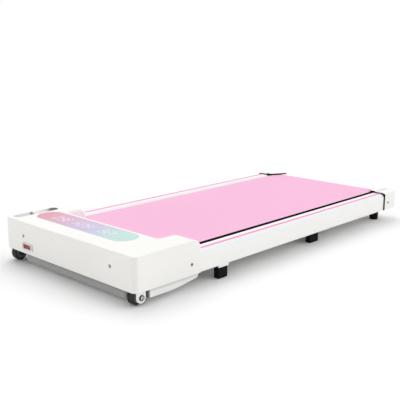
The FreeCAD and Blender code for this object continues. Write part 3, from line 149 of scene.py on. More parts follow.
# Feet
FOOT_WIDTH = 0.017
FOOT_TAPER = 0.985
FOOT_ROUND = 0.0016
REAR_FOOT_RADIUS = 0.0132
REAR_FOOT_RIM = 0.002
REAR_FOOT_RIM_STEPS = 5
REAR_FOOT_COLLAR = 0.006
REAR_FOOT_LIP = 0.0012
REAR_FOOT_NECK_SHARE = 0.93
REAR_FOOT_WALL_STEPS = 4
REAR_FOOT_STEPS = 64

# Trim along the rails and over the seams
TRIM_STEPS = 24
STRIPE_PROUD = 0.0007
STRIPE_ROUND = 0.0006
STRIPE_ROUND_STEPS = 5
SEAM_CAP = 0.0004
SEAM_WIDTH = 0.005
SEAM_PROUD = 0.0022
SEAM_LAP = 0.002
SEAM_ROUND = 0.0004
SEAM_REACH = (0.2165, 0.2470)
BLOCK_ROUND_STEPS = 4
FLANGE_WIDTH = 0.0100
FLANGE_DROP = 0.0042
FLANGE_SHEET = 0.0010
FLANGE_START = -0.352
FLANGE_END = 0.4705

# Colours as linear values
SHELL_WHITE = (0.90, 0.892, 0.865)
RAIL_WHITE = (0.905, 0.90, 0.875)
# Painted cool sheen on the rounded edges between the rails' tops and sides, and the range of the normal that
# takes it
RAIL_EDGE_SHEEN = (0.86, 0.90, 0.91)
RAIL_EDGE_SHEEN_LIMITS = ((0.52, 0.0), (0.72, 0.9), (0.90, 0.9), (0.99, 0.0))
BELT_PINK = (0.89, 0.49, 0.695)
BELT_DARK_SHARE = 0.975
PLY_DARK = (0.005, 0.005, 0.0055)
PLY_LIGHT = (0.009, 0.009, 0.0095)
STRIPE_PINK = (0.95, 0.21, 0.53)
RUBBER_BLACK = (0.012, 0.012, 0.013)
TYRE_BLACK = (0.010, 0.010, 0.011)
HUB_GREY = (0.16, 0.16, 0.165)
FRAME_BLACK = (0.02, 0.02, 0.021)
STEEL_BRIGHT = (0.62, 0.61, 0.6)
BOLT_GREY = (0.16, 0.16, 0.165)
AXLE_BLACK = (0.045, 0.045, 0.047)
SCREW_GREY = (0.36, 0.36, 0.365)
DECK_BLACK = (0.010, 0.0095, 0.0095)
BOARD_GREEN = (0.02, 0.13, 0.05)
DIGIT_GREY = (0.5, 0.5, 0.5)
NUMBER_WHITE = (0.9, 0.9, 0.92)
PAN_WHITE = (0.88, 0.875, 0.865)
# Painted shade on the pan's forward faces, and the range of the normal that takes it
PAN_FRONT_SHADE = (0.33, 0.327, 0.322)
PAN_FRONT_SHADE_LIMITS = ((0.14, 1.0), (0.40, 0.0))
PAN_SHADE_DEPTH = 0.010
PAN_SHADE_SHARES = ((0.0, 1.0), (0.85, 0.66))
MOTOR_BLACK = (0.02, 0.02, 0.022)
ALUMINIUM = (0.66, 0.66, 0.67)
CASE_GREY = (0.16, 0.16, 0.17)
PULLEY_BLACK = (0.05, 0.05, 0.052)
SWITCH_WHITE = (0.70, 0.70, 0.69)
SWITCH_RED = (0.34, 0.018, 0.025)
TRAY_PALE = (0.93, 0.93, 0.925)
# Painted shade along the tray, as grey shares from its front end to its rear end
TRAY_SHADE_SHARES = (
    (0.0, 0.85), (0.41, 0.95), (0.45, 0.36), (0.47, 0.36), (0.49, 1.0), (0.80, 0.95), (0.90, 0.36),
)
INLET_BLACK = (0.016, 0.016, 0.017)
PIN_BRASS = (0.72, 0.55, 0.25)
DISPLAY_STOPS = (
    (0.00, (0.49, 0.74, 0.68)),
    (0.15, (0.53, 0.73, 0.68)),
    (0.30, (0.54, 0.61, 0.70)),
    (0.43, (0.58, 0.52, 0.70)),
    (0.60, (0.64, 0.46, 0.65)),
    (0.80, (0.68, 0.38, 0.50)),
    (1.00, (0.74, 0.27, 0.36)),
)

# Noise behind the finishes: the part of its range that is used, and its detail
NOISE_LOW = 0.3
NOISE_HIGH = 0.7
TONE_SCALE = 7.0
TONE_DETAIL = 4.0
GRAIN_DETAIL = 2.0
GRAIN_BUMP = 0.35


def new_material(name):
    material = bpy.data.materials.new(name)
    material.use_nodes = True
    return material


def shader_of(material):
    return material.node_tree.nodes["Principled BSDF"]


# Values that are the same all over a surface, on the shader's own sockets
def set_sockets(material, values):
    for name, value in values.items():
        shader_of(material).inputs[name].default_value = value
    return material


def add_node(tree, kind, values):
    node = tree.nodes.new(kind)
    for name, value in values.items():
        node.inputs[name].default_value = value
    return node


# Fixed value or link, whichever is given, into a socket
def feed(tree, socket, value):
    if isinstance(value, bpy.types.NodeSocket):
        tree.links.new(value, socket)
    else:
        socket.default_value = value


def object_place(tree, stretch=(1, 1, 1)):
    place = tree.nodes.new("ShaderNodeTexCoord")
    mapping = add_node(tree, "ShaderNodeMapping", {"Scale": stretch})
    tree.links.new(place.outputs["Object"], mapping.inputs["Vector"])
    return mapping.outputs["Vector"]


def axis_part(tree, vector, axis):
    split = tree.nodes.new("ShaderNodeSeparateXYZ")
    tree.links.new(vector, split.inputs["Vector"])
    return split.outputs[axis]


def noise(tree, place, scale, detail):
    texture = add_node(tree, "ShaderNodeTexNoise", {"Scale": scale, "Detail": detail})
    tree.links.new(place, texture.inputs["Vector"])
    return texture.outputs["Fac"]


def ramp(tree, value, stops):
    node = tree.nodes.new("ShaderNodeValToRGB")
    elements = node.color_ramp.elements
    while len(elements) < len(stops):
        elements.new(0.5)
    for element, stop in zip(elements, stops):
        element.position = stop[0]
        element.color = (*stop[1], 1.0)
    tree.links.new(value, node.inputs["Fac"])
    return node.outputs["Color"]


def between(tree, value, start, end, low=0.0, high=1.0):
    limits = {"From Min": start, "From Max": end, "To Min": low, "To Max": high}
    node = add_node(tree, "ShaderNodeMapRange", limits)
    tree.links.new(value, node.inputs["Value"])
    return node.outputs["Result"]


def bump(material, height, strength, distance):
    tree = material.node_tree
    node = add_node(tree, "ShaderNodeBump", {"Strength": strength, "Distance": distance})
    tree.links.new(height, node.inputs["Height"])
    tree.links.new(node.outputs["Normal"], shader_of(material).inputs["Normal"])


def arithmetic(tree, operation, first, second):
    node = tree.nodes.new("ShaderNodeMath")
    node.operation = operation
    feed(tree, node.inputs[0], first)
    feed(tree, node.inputs[1], second)
    return node.outputs["Value"]


def shaded(colour, share):
    return tuple(channel * share for channel in colour)


def greys(shares):
    return [(position, (share, share, share)) for position, share in shares]


# Base colour that follows broad noise, and roughness that follows fine noise
def uneven(material, broad, fine, dark, colour, gloss):
    tree = material.node_tree
    inputs = shader_of(material).inputs
    tree.links.new(ramp(tree, broad, ((NOISE_LOW, dark), (NOISE_HIGH, colour))), inputs["Base Color"])
    tree.links.new(between(tree, fine, NOISE_LOW, NOISE_HIGH, *gloss), inputs["Roughness"])


# Surface with broad tone changes, uneven gloss and a fine grain
def grained(name, colour, tone, gloss, grain, depth, stretch=(1, 1, 1)):
    material = new_material(name)
    tree = material.node_tree
    place = object_place(tree, stretch)
    broad = noise(tree, place, TONE_SCALE, TONE_DETAIL)
    fine = noise(tree, place, grain, GRAIN_DETAIL)
    uneven(material, broad, fine, shaded(colour, 1 - tone), colour, gloss)
    bump(material, fine, GRAIN_BUMP, depth)
    return material


# Second colour mixed into the base colour that a material has so far
def recolour(material, blend, factor, colour):
    tree = material.node_tree
    base = shader_of(material).inputs["Base Color"]
    mix = tree.nodes.new("ShaderNodeMix")
    mix.data_type = "RGBA"
    mix.blend_type = blend
    feed(tree, mix.inputs["Factor"], factor)
    feed(tree, mix.inputs["A"], base.links[0].from_socket)
    feed(tree, mix.inputs["B"], colour)
    tree.links.new(mix.outputs["Result"], base)


# Second colour where faces look one way, given by a range of one part of the normal
def tint_facing(material, axis, limits, colour):
    tree = material.node_tree
    normal = tree.nodes.new("ShaderNodeNewGeometry").outputs["Normal"]
    facing = between(tree, axis_part(tree, normal, axis), -1.0, 1.0)
    recolour(material, "MIX", ramp(tree, facing, greys(limits)), (*colour, 1.0))


# Base colour multiplied by grey shares that follow an object's axis between two places
def shade_along(material, axis, start, end, shares):
    tree = material.node_tree
    along = between(tree, axis_part(tree, object_place(tree), axis), start, end)
    recolour(material, "MULTIPLY", 1.0, ramp(tree, along, greys(shares)))


def white_shell():
    material = grained(
        "white_shell_moulded", SHELL_WHITE, tone=0.025, gloss=(0.34, 0.44), grain=1300.0, depth=0.00004)
    return set_sockets(material, {"Specular IOR Level": 0.25})


def white_metal():
    material = grained(
        "white_rail_paint", RAIL_WHITE, tone=0.02, gloss=(0.26, 0.36), grain=900.0, depth=0.00003,
        stretch=(0.12, 1, 1))
    # Painted cool sheen where the rail's faces turn between top and side
    tint_facing(material, "Z", RAIL_EDGE_SHEEN_LIMITS, RAIL_EDGE_SHEEN)
    return set_sockets(material, {"Coat Weight": 0.12, "Coat Roughness": 0.18})


def stripe_pink():
    return grained(
        "stripe_pink_plastic", STRIPE_PINK, tone=0.05, gloss=(0.32, 0.42), grain=900.0, depth=0.00002,
        stretch=(0.2, 1, 1))


def matt_rubber(name):
    material = grained(name, RUBBER_BLACK, tone=0.35, gloss=(0.68, 0.85), grain=1600.0, depth=0.00008)
    return set_sockets(material, {"Specular IOR Level": 0.08})


def black_rubber():
    return matt_rubber("black_rubber_moulded")


# Black seam rubber whose highest edge, along the guard, is capped in white
def seam_rubber():
    material = matt_rubber("seam_rubber")
    tree = material.node_tree
    low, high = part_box("end_cap_gasket_left")
    place = object_place(tree)
    masks = []
    for axis, start in (("Z", high.z - SEAM_CAP), ("X", low.x + SEAM_WIDTH)):
        masks.append(between(tree, axis_part(tree, place, axis), start, start + SEAM_CAP / 2))
    recolour(material, "MIX", arithmetic(tree, "MULTIPLY", *masks), (*SHELL_WHITE, 1.0))
    return material


def wheel_rubber():
    return grained("tyre_rubber", TYRE_BLACK, tone=0.3, gloss=(0.42, 0.62), grain=1900.0, depth=0.00006)


def hub_grey():
    return grained("hub_nylon", HUB_GREY, tone=0.2, gloss=(0.4, 0.55), grain=1400.0, depth=0.00004)


def frame_steel():
    return grained(
        "frame_powder_coat", FRAME_BLACK, tone=0.25, gloss=(0.42, 0.6), grain=2200.0, depth=0.00006)


def bright_steel():
    material = grained(
        "turned_steel", STEEL_BRIGHT, tone=0.12, gloss=(0.2, 0.34), grain=700.0, depth=0.00001,
        stretch=(1, 8, 1))
    return set_sockets(material, {"Metallic": 1.0})


def chrome_bolt():
    material = grained("plated_bolt", BOLT_GREY, tone=0.2, gloss=(0.2, 0.32), grain=1500.0, depth=0.00001)
    return set_sockets(material, {"Metallic": 1.0})


def axle_black():
    material = grained(
        "black_oxide_bolt", AXLE_BLACK, tone=0.2, gloss=(0.3, 0.42), grain=1500.0, depth=0.00001)
    return set_sockets(material, {"Metallic": 0.7})


def screw_zinc():
    material = grained("screw_zinc", SCREW_GREY, tone=0.15, gloss=(0.25, 0.36), grain=1500.0, depth=0.00001)
    return set_sockets(material, {"Metallic": 1.0})


def deck_laminate():
    material = grained(
        "deck_laminate_black", DECK_BLACK, tone=0.3, gloss=(0.4, 0.55), grain=600.0, depth=0.00004,
        stretch=(0.2, 1, 1))
    return set_sockets(material, {"Specular IOR Level": 0.12})


def circuit_board():
    return grained("board_green", BOARD_GREEN, tone=0.3, gloss=(0.25, 0.4), grain=500.0, depth=0.00003)


def digit_plastic():
    return grained("digit_block_grey", DIGIT_GREY, tone=0.1, gloss=(0.3, 0.4), grain=900.0, depth=0.00002)


# Pale pan with painted shade on the faces that look forward, and a painted shadow just under the hood
def pan_plastic():
    material = grained("pan_moulded", PAN_WHITE, tone=0.04, gloss=(0.42, 0.55), grain=1100.0, depth=0.00006)
    # Painted shade where the pan's faces look forward
    tint_facing(material, "X", PAN_FRONT_SHADE_LIMITS, PAN_FRONT_SHADE)
    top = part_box("motor_hood")[0].z
    # Painted shadow along the top of the pan, under the hood's edge
    shade_along(material, "Z", top - PAN_SHADE_DEPTH, top, PAN_SHADE_SHARES)
    return material


def motor_black():
    return grained("motor_can_paint", MOTOR_BLACK, tone=0.3, gloss=(0.3, 0.45), grain=1200.0, depth=0.00003)


def heat_sink():
    material = grained(
        "extruded_aluminium", ALUMINIUM, tone=0.1, gloss=(0.3, 0.42), grain=900.0, depth=0.00002,
        stretch=(0.1, 1, 1))
    return set_sockets(material, {"Metallic": 1.0})


def control_case():
    return grained("control_case_grey", CASE_GREY, tone=0.15, gloss=(0.4, 0.55), grain=1100.0, depth=0.00005)


def pulley_plastic():
    return grained("pulley_nylon", PULLEY_BLACK, tone=0.2, gloss=(0.35, 0.5), grain=1300.0, depth=0.00004)


def switch_frame():
    return grained(
        "switch_frame_plastic", SWITCH_WHITE, tone=0.06, gloss=(0.28, 0.38), grain=1700.0, depth=0.00002)


def switch_red():
    material = grained(
        "switch_red_plastic", SWITCH_RED, tone=0.18, gloss=(0.18, 0.28), grain=1500.0, depth=0.00002)
    return set_sockets(material, {"Coat Weight": 0.35, "Coat Roughness": 0.12})


# Pale tray with painted shade at its rear end and before the rib in its middle
def tray_grey():
    material = grained(
        "tray_grey_plastic", TRAY_PALE, tone=0.06, gloss=(0.36, 0.48), grain=1200.0, depth=0.00005)
    low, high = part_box("remote_tray")
    # Painted shade at the rear end and before the rib
    shade_along(material, "X", low.x, high.x, TRAY_SHADE_SHARES)
    return material


def inlet_plastic():
    return grained("inlet_black", INLET_BLACK, tone=0.25, gloss=(0.35, 0.5), grain=1500.0, depth=0.00004)


def inlet_brass():
    material = grained("pin_brass", PIN_BRASS, tone=0.12, gloss=(0.2, 0.32), grain=1500.0, depth=0.00001)
    return set_sockets(material, {"Metallic": 1.0})


# Belt top with a fine pressed lozenge texture
def belt_pink():
    material = new_material("belt_pink_pvc")
    tree = material.node_tree
    place = object_place(tree)
    broad = noise(tree, place, scale=5.0, detail=5.0)
    fine = noise(tree, place, scale=1500.0, detail=GRAIN_DETAIL)
    uneven(material, broad, fine, shaded(BELT_PINK, BELT_DARK_SHARE), BELT_PINK, gloss=(0.5, 0.66))
    heights = []
    for angle in (45.0, -45.0):
        slanted = add_node(tree, "ShaderNodeMapping", {"Rotation": (0, 0, math.radians(angle))})
        tree.links.new(place, slanted.inputs["Vector"])
        wave = add_node(tree, "ShaderNodeTexWave", {"Scale": 130.0, "Distortion": 0.6, "Detail": 1.0})
        tree.links.new(slanted.outputs["Vector"], wave.inputs["Vector"])
        heights.append(wave.outputs["Fac"])
    bump(material, arithmetic(tree, "MULTIPLY", *heights), strength=0.3, distance=0.0001)
    return set_sockets(material, {"Specular IOR Level": 0.1})


# Black woven ply under the belt and along its cut edges
def belt_ply():
    material = new_material("belt_black_ply")
    tree = material.node_tree
    threads = {"Scale": 900.0, "Color1": (*PLY_DARK, 1), "Color2": (*PLY_LIGHT, 1)}
    weave = add_node(tree, "ShaderNodeTexChecker", threads)
    tree.links.new(object_place(tree), weave.inputs["Vector"])
    tree.links.new(weave.outputs["Color"], shader_of(material).inputs["Base Color"])
    bump(material, weave.outputs["Fac"], strength=0.4, distance=0.0001)
    return set_sockets(material, {"Roughness": 0.8, "Specular IOR Level": 0.05})


# Printed window whose colour runs from mint on the left to pink on the right
def window_plastic():
    material = new_material("window_gradient")
    tree = material.node_tree
    inputs = shader_of(material).inputs
    low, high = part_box("display_window")
    place = object_place(tree)
    along = between(tree, axis_part(tree, place, "Y"), low.y, high.y)
    tree.links.new(ramp(tree, along, DISPLAY_STOPS), inputs["Base Color"])
    fine = noise(tree, place, scale=900.0, detail=GRAIN_DETAIL)
    gloss = between(tree, fine, NOISE_LOW, NOISE_HIGH, low=0.24, high=0.34)
    tree.links.new(gloss, inputs["Roughness"])
    return set_sockets(material, {"Specular IOR Level": 0.08})


def number_white():
    return grained(
        "number_white_print", NUMBER_WHITE, tone=0.03, gloss=(0.3, 0.4), grain=1200.0, depth=0.00001)


MAKERS = (
    white_shell, white_metal, stripe_pink, black_rubber, wheel_rubber, hub_grey, frame_steel, bright_steel,
    chrome_bolt, deck_laminate, circuit_board, digit_plastic, pan_plastic, motor_black, heat_sink,
    control_case, pulley_plastic, switch_frame, switch_red, tray_grey, inlet_plastic, inlet_brass,
    belt_pink, window_plastic,
)


# Every CAD node takes the finish that its packed slot names, apart from seams, wheel bolts and under cover
def paint_nodes():
    made = {maker.__name__: maker() for maker in MAKERS}
    for node in NODES.values():
        for slot in node.material_slots:
            slot.material = made[slot.material.name.split(".")[0]]
    seam = seam_rubber()
    axle = axle_black()
    for side in SIDES:
        NODES["end_cap_gasket_" + side].material_slots[0].material = seam
        NODES["wheel_axle_" + side].material_slots[0].material = axle
    NODES["under_cover"].material_slots[0].material = made["white_metal"]
    return made


def add_piece(name, mesh, materials, body):
    piece = bpy.data.objects.new(name, mesh)
    bpy.context.scene.collection.objects.link(piece)
    for material in materials:
        piece.data.materials.append(material)
    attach(piece, body)
    return piece


def finish_mesh(name, build, sharp_angle=SHARP_ANGLE):
    bmesh.ops.recalc_face_normals(build, faces=build.faces)
    mesh = bpy.data.meshes.new(name)
    build.to_mesh(mesh)
    build.free()
    mesh.shade_smooth()
    mesh.set_sharp_from_angle(angle=math.radians(sharp_angle))
    return mesh


# Faces between rings of vertices that follow one another
def skin_rings(build, rings, closed=False):
    pairs = list(zip(rings, rings[1:]))
    if closed:
        pairs.append((rings[-1], rings[0]))
    count = len(rings[0])
    for first, second in pairs:
        for j in range(count):
            k = (j + 1) % count
            build.faces.new((first[j], first[k], second[k], second[j]))


# Solid through rings of vertices, with a face over its first and last ring
def fill_rings(build, rings):
    skin_rings(build, rings)
    build.faces.new(rings[-1])
    build.faces.new(list(reversed(rings[0])))


# Profile turned round an axis, with one ring of vertices for each of its points
def turned(build, profile, steps, place):
    rings = []
    for radius, along in profile:
        ring = []
        for i in range(steps):
            turn = 2 * math.pi * i / steps
            ring.append(build.verts.new(place(radius * math.cos(turn), radius * math.sin(turn), along)))
        rings.append(ring)
    return rings


# Straight piece of one section, given in Y and Z, from one X to another
def add_run(build, section, start, end):
    rings = []
    for i in range(TRIM_STEPS + 1):
        x = start + (end - start) * i / TRIM_STEPS
        rings.append([build.verts.new((x, y, z)) for y, z in section])
    fill_rings(build, rings)


# Block with rounded edges that narrows toward its foot
def add_block(build, low, high, foot_share, rounding):
    middle = (Vector(low) + Vector(high)) / 2
    size = Vector(high) - Vector(low)
    corners = bmesh.ops.create_cube(build, size=1.0)["verts"]
    for vertex in corners:
        share = foot_share if vertex.co.z < 0 else 1.0
        vertex.co.x = middle.x + vertex.co.x * size.x * share
        vertex.co.y = middle.y + vertex.co.y * size.y * share
        vertex.co.z = middle.z + vertex.co.z * size.z
    edges = list(dict.fromkeys(edge for vertex in corners for edge in vertex.link_edges))
    bmesh.ops.bevel(
        build, geom=edges, offset=rounding, segments=BLOCK_ROUND_STEPS, profile=0.5, affect="EDGES")


# Places along the belt's loop, each with the angle at which its surface looks
def belt_path(front, rear):
    path = []
    for start, end, first in ((front, rear, math.pi / 2), (rear, front, -math.pi / 2)):
        for i in range(BELT_ARC_STEPS + 1):
            path.append((start, first + math.pi * i / BELT_ARC_STEPS))
        for i in range(1, BELT_RUN_STEPS):
            path.append((start + (end - start) * i / BELT_RUN_STEPS, first + math.pi))
    return path


# Belt loop with a pink top, chamfered cut edges and a dark ply inside
def make_belt(made):
    low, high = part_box("walking_belt")
    radius = (high.z - low.z) / 2
    middle = (high.z + low.z) / 2
    section = (
        (low.y, -BELT_THICK), (low.y, -BELT_CHAMFER_DROP), (low.y + BELT_CHAMFER, 0.0),
        (high.y - BELT_CHAMFER, 0.0), (high.y, -BELT_CHAMFER_DROP), (high.y, -BELT_THICK),
    )
    top_face = 2
    count = len(section)
    build = bmesh.new()
    rings = []
    for x, turn in belt_path(low.x + radius, high.x - radius):
        ring = []
        for y, lift in section:
            reach = radius + lift
            ring.append(build.verts.new((x + reach * math.cos(turn), y, middle + reach * math.sin(turn))))
        rings.append(ring)
    for i, ring in enumerate(rings):
        following = rings[(i + 1) % len(rings)]
        for j in range(count):
            k = (j + 1) % count
            face = build.faces.new((ring[j], ring[k], following[k], following[j]))
            face.material_index = 0 if j == top_face else 1
    mesh = finish_mesh("belt_loop", build, BELT_SHARP_ANGLE)
    piece = add_piece("belt_loop", mesh, [made["belt_pink"], belt_ply()], "chassis")
    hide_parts("walking_belt")


# Outline with two straight sides along Y and two round ends
def stadium(middle, half_x, half_y):
    straight = half_y - half_x
    points = []
    for first, shift in ((0.0, straight), (math.pi, -straight)):
        for i in range(LENS_END_STEPS + 1):
            turn = first + math.pi * i / LENS_END_STEPS
            points.append((middle.x + half_x * math.cos(turn), middle.y + shift + half_x * math.sin(turn)))
    return points


# Window lens with a rounded rim, just under the hood's top
def make_window(made):
    low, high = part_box("display_window")
    middle = (low + high) / 2
    half_x = (high.x - low.x) / 2
    half_y = (high.y - low.y) / 2
    top = high.z - LENS_SINK
    layers = [(0.0, low.z), (0.0, top - LENS_RIM)]
    for i in range(1, LENS_RIM_STEPS + 1):
        turn = math.pi / 2 * i / LENS_RIM_STEPS
        layers.append((LENS_RIM * (1 - math.cos(turn)), top - LENS_RIM + LENS_RIM * math.sin(turn)))
    build = bmesh.new()
    rings = []
    for inset, z in layers:
        outline = stadium(middle, half_x - inset, half_y - inset)
        rings.append([build.verts.new((x, y, z)) for x, y in outline])
    fill_rings(build, rings)
    mesh = finish_mesh("display_lens", build)
    piece = add_piece("display_lens", mesh, [made["window_plastic"]], "chassis")
    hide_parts("display_window")
    return top


# Lines of the seven segments, seen from above with the digit upright
def digit_lines():
    left, right = 0, DIGIT_WIDTH
    foot, waist, head = 0, DIGIT_HEIGHT / 2, DIGIT_HEIGHT
    return {
        "a": ((left, head), (right, head)),
        "b": ((right, head), (right, waist)),
        "c": ((right, waist), (right, foot)),
        "d": ((left, foot), (right, foot)),
        "e": ((left, waist), (left, foot)),
        "f": ((left, head), (left, waist)),
        "g": ((left, waist), (right, waist)),
    }


# Bar with pointed ends between two points of the digit plane
def segment_outline(start, end):
    start = Vector(start)
    end = Vector(end)
    along = (end - start).normalized() * DIGIT_STROKE_HALF
    across = Vector((-along.y, along.x))
    head = start + along * DIGIT_SHOULDER_GAP
    tail = end - along * DIGIT_SHOULDER_GAP
    return [
        start + along * DIGIT_POINT_GAP, head + across, tail + across,
        end - along * DIGIT_POINT_GAP, tail - across, head - across,
    ]


# Seven-segment numbers on the window, read by the walker
def make_numbers(top):
    low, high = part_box("display_window")
    middle = (low + high) / 2
    lines = digit_lines()
    build = bmesh.new()
    for offset, text in NUMBER_GROUPS:
        start = offset - DIGIT_PITCH * len(text) / 2 + (DIGIT_PITCH - DIGIT_WIDTH) / 2
        for place, character in enumerate(text):
            left = start + DIGIT_PITCH * place
            for name in SEGMENTS[character]:
                ring = []
                for point in segment_outline(*lines[name]):
                    away = point.y - DIGIT_HEIGHT / 2
                    ring.append((middle.x - away, middle.y + left + point.x + DIGIT_SLANT * away))
                rings = []
                for z in (top - DIGIT_LIFT, top + DIGIT_LIFT):
                    rings.append([build.verts.new((x, y, z)) for x, y in ring])
                fill_rings(build, rings)
    mesh = finish_mesh("display_numbers", build)
    add_piece("display_numbers", mesh, [number_white()], "chassis")


# Quarter round from the side wall to the crown of a tyre, at one edge
def shoulder(crown, edge, inward):
    points = []
    for i in range(TYRE_SHOULDER_STEPS + 1):
        turn = math.pi / 2 * i / TYRE_SHOULDER_STEPS
        radius = crown - TYRE_SHOULDER + TYRE_SHOULDER * math.sin(turn)
        points.append((radius, edge + inward * TYRE_SHOULDER * (1 - math.cos(turn))))
    return points


# Half section of a tyre, from its bore over the tread and back
def tyre_profile(bore, crown, left, right):
    profile = [(bore, left + TYRE_WALL_RISE), (bore + TYRE_WALL_RISE, left)]
    profile += shoulder(crown, left, 1)
    tread = right - left - 2 * TYRE_SHOULDER
    floor = crown - GROOVE_DEPTH
    half = GROOVE_WIDTH / 2
    for i in range(TYRE_GROOVES):
        middle = left + TYRE_SHOULDER + tread * (i + 0.5) / TYRE_GROOVES
        profile.append((crown, middle - half * GROOVE_FLARE))
        profile.append((floor, middle - half))
        profile.append((floor, middle + half))
        profile.append((crown, middle + half * GROOVE_FLARE))
    profile += list(reversed(shoulder(crown, right, -1)))
    profile += [(bore + TYRE_WALL_RISE, right), (bore, right - TYRE_WALL_RISE)]
    return profile


# Tyre with round shoulders and grooves in its tread
def make_tyre(made, side):
    low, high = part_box("wheel_tyre_" + side)
    hub_low, hub_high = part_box("wheel_hub_" + side)
    middle = (low + high) / 2
    profile = tyre_profile((hub_high.z - hub_low.z) / 2, (high.z - low.z) / 2, low.y, high.y)
    build = bmesh.new()
    rings = turned(build, profile, TYRE_STEPS, lambda a, b, along: (middle.x + a, along, middle.z + b))
    skin_rings(build, rings, closed=True)
    mesh = finish_mesh("tyre_" + side, build)
    piece = add_piece("tyre_" + side, mesh, [made["wheel_rubber"]], "wheel_" + side)
    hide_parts("wheel_tyre_" + side)


# Share by which a circle shrinks at an angle to become a hexagon
def hexagon_share(turn):
    return math.cos(math.pi / 6) / math.cos((turn % (math.pi / 3)) - math.pi / 6)


# Domed cap with a hexagon socket, seated on the head of a wheel bolt
def make_bolt_dome(made, side):
    low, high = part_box("wheel_axle_" + side)
    sign = 1 if side == "right" else -1
    face = high.y if side == "right" else low.y
    middle = (low + high) / 2
    radius = (high.x - low.x) / 2 - DOME_INSET
    profile = [(radius * share, DOME_HEIGHT * rise) for share, rise in DOME_PROFILE]
    profile += [(DOME_SOCKET, DOME_HEIGHT), (DOME_SOCKET * DOME_SOCKET_TAPER, -DOME_HEIGHT)]
    build = bmesh.new()
    rings = turned(
        build, profile, FASTENER_STEPS,
        lambda a, b, along: (middle.x + a, face + sign * along, middle.z + b))
    for ring in rings[-2:]:
        for i, vertex in enumerate(ring):
            share = hexagon_share(2 * math.pi * i / FASTENER_STEPS)
            vertex.co.x = middle.x + (vertex.co.x - middle.x) * share
            vertex.co.z = middle.z + (vertex.co.z - middle.z) * share
    fill_rings(build, rings)
    mesh = finish_mesh("bolt_dome_" + side, build)
    add_piece("bolt_dome_" + side, mesh, [made["bright_steel"]], "chassis")


# Point of a CAD node that a straight line from outside meets first
def first_hit(node, start, direction):
    found = NODES[node].ray_cast(Vector(start), Vector(direction))
    return found[1]


# Pan head screw with a cross recess, seated on a face that looks outward
def add_screw(build, seat, outward):
    turn = Vector((0, 0, 1)).rotation_difference(Vector(outward))
    arm = SCREW_RADIUS * SCREW_ARM_SHARE
    reach = SCREW_RADIUS * SCREW_REACH_SHARE
    profile = [(SCREW_RADIUS, 0.0)]
    for share in SCREW_RINGS:
        rise = SCREW_HEAD * math.sqrt(1 - (share * SCREW_CROWN) ** SCREW_CROWN_POWER)
        profile.append((SCREW_RADIUS * share, rise))

    def place(a, b, along):
        in_cross = (abs(a) < arm or abs(b) < arm) and math.hypot(a, b) < reach
        sunk = SCREW_RECESS if in_cross else 0.0
        return seat + turn @ Vector((a, b, along - sunk))

    fill_rings(build, turned(build, profile, FASTENER_STEPS, place))


# Screws of the hood, the end caps and the pan
def make_screws():
    build = bmesh.new()
    for y in (-FRONT_SCREW_Y, FRONT_SCREW_Y):
        start = (CAD_LOW[0] - SEAT_SEARCH_REACH, y, FRONT_SCREW_Z)
        add_screw(build, first_hit("motor_hood", start, (1, 0, 0)), (-1, 0, 0))
    for sign, side in ((-1, "left"), (1, "right")):
        for node, x, z in (("motor_hood", *SIDE_SCREW), ("end_cap_" + side, *CAP_SCREW)):
            seat = first_hit(node, (x, sign * SEAT_SEARCH_REACH, z), (0, -sign, 0))
            add_screw(build, seat, (0, sign, 0))
        for x in PAN_SCREWS_X:
            seat = first_hit("belly_pan", (x, sign * PAN_SCREW_Y, -SEAT_SEARCH_REACH), (0, 0, 1))
            add_screw(build, seat, (0, 0, -1))
    mesh = finish_mesh("cover_screws", build)
    add_piece("cover_screws", mesh, [screw_zinc()], "chassis")


# Sloping inner flange along a rail, between its top edge and the belt
def make_rail_flange(made, side):
    low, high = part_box("side_rail_" + side)
    sign = 1 if side == "right" else -1
    edge = low.y if side == "right" else high.y
    tip = edge - sign * FLANGE_WIDTH
    bend = FLANGE_SHEET * 0.5
    top = high.z - FLANGE_SHEET
    foot = top - FLANGE_DROP
    section = (
        (edge, top), (tip + sign * bend, foot + bend), (tip, foot),
        (tip, foot - FLANGE_SHEET), (tip + sign * bend, foot - FLANGE_SHEET), (edge, top - FLANGE_SHEET),
    )
    build = bmesh.new()
    add_run(build, section, FLANGE_START, FLANGE_END)
    mesh = finish_mesh("rail_flange_" + side, build)
    add_piece("rail_flange_" + side, mesh, [made["white_metal"]], "chassis")


# Pink strip that stands a little proud of its groove, with a rounded top
def make_stripe(made, side):
    low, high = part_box("rail_stripe_" + side)
    middle = (low.y + high.y) / 2
    flat = (high.y - low.y) / 2 - STRIPE_ROUND
    lift = high.z + STRIPE_PROUD - STRIPE_ROUND
    section = [(low.y, low.z)]
    for sign, first in ((-1, math.pi), (1, math.pi / 2)):
        for i in range(STRIPE_ROUND_STEPS + 1):
            turn = first - math.pi / 2 * i / STRIPE_ROUND_STEPS
            y = middle + sign * flat + STRIPE_ROUND * math.cos(turn)
            section.append((y, lift + STRIPE_ROUND * math.sin(turn)))
    section.append((high.y, low.z))
    build = bmesh.new()
    add_run(build, section, low.x, high.x)
    mesh = finish_mesh("stripe_bead_" + side, build)
    piece = add_piece("stripe_bead_" + side, mesh, [made["stripe_pink"]], "chassis")
    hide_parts("rail_stripe_" + side)


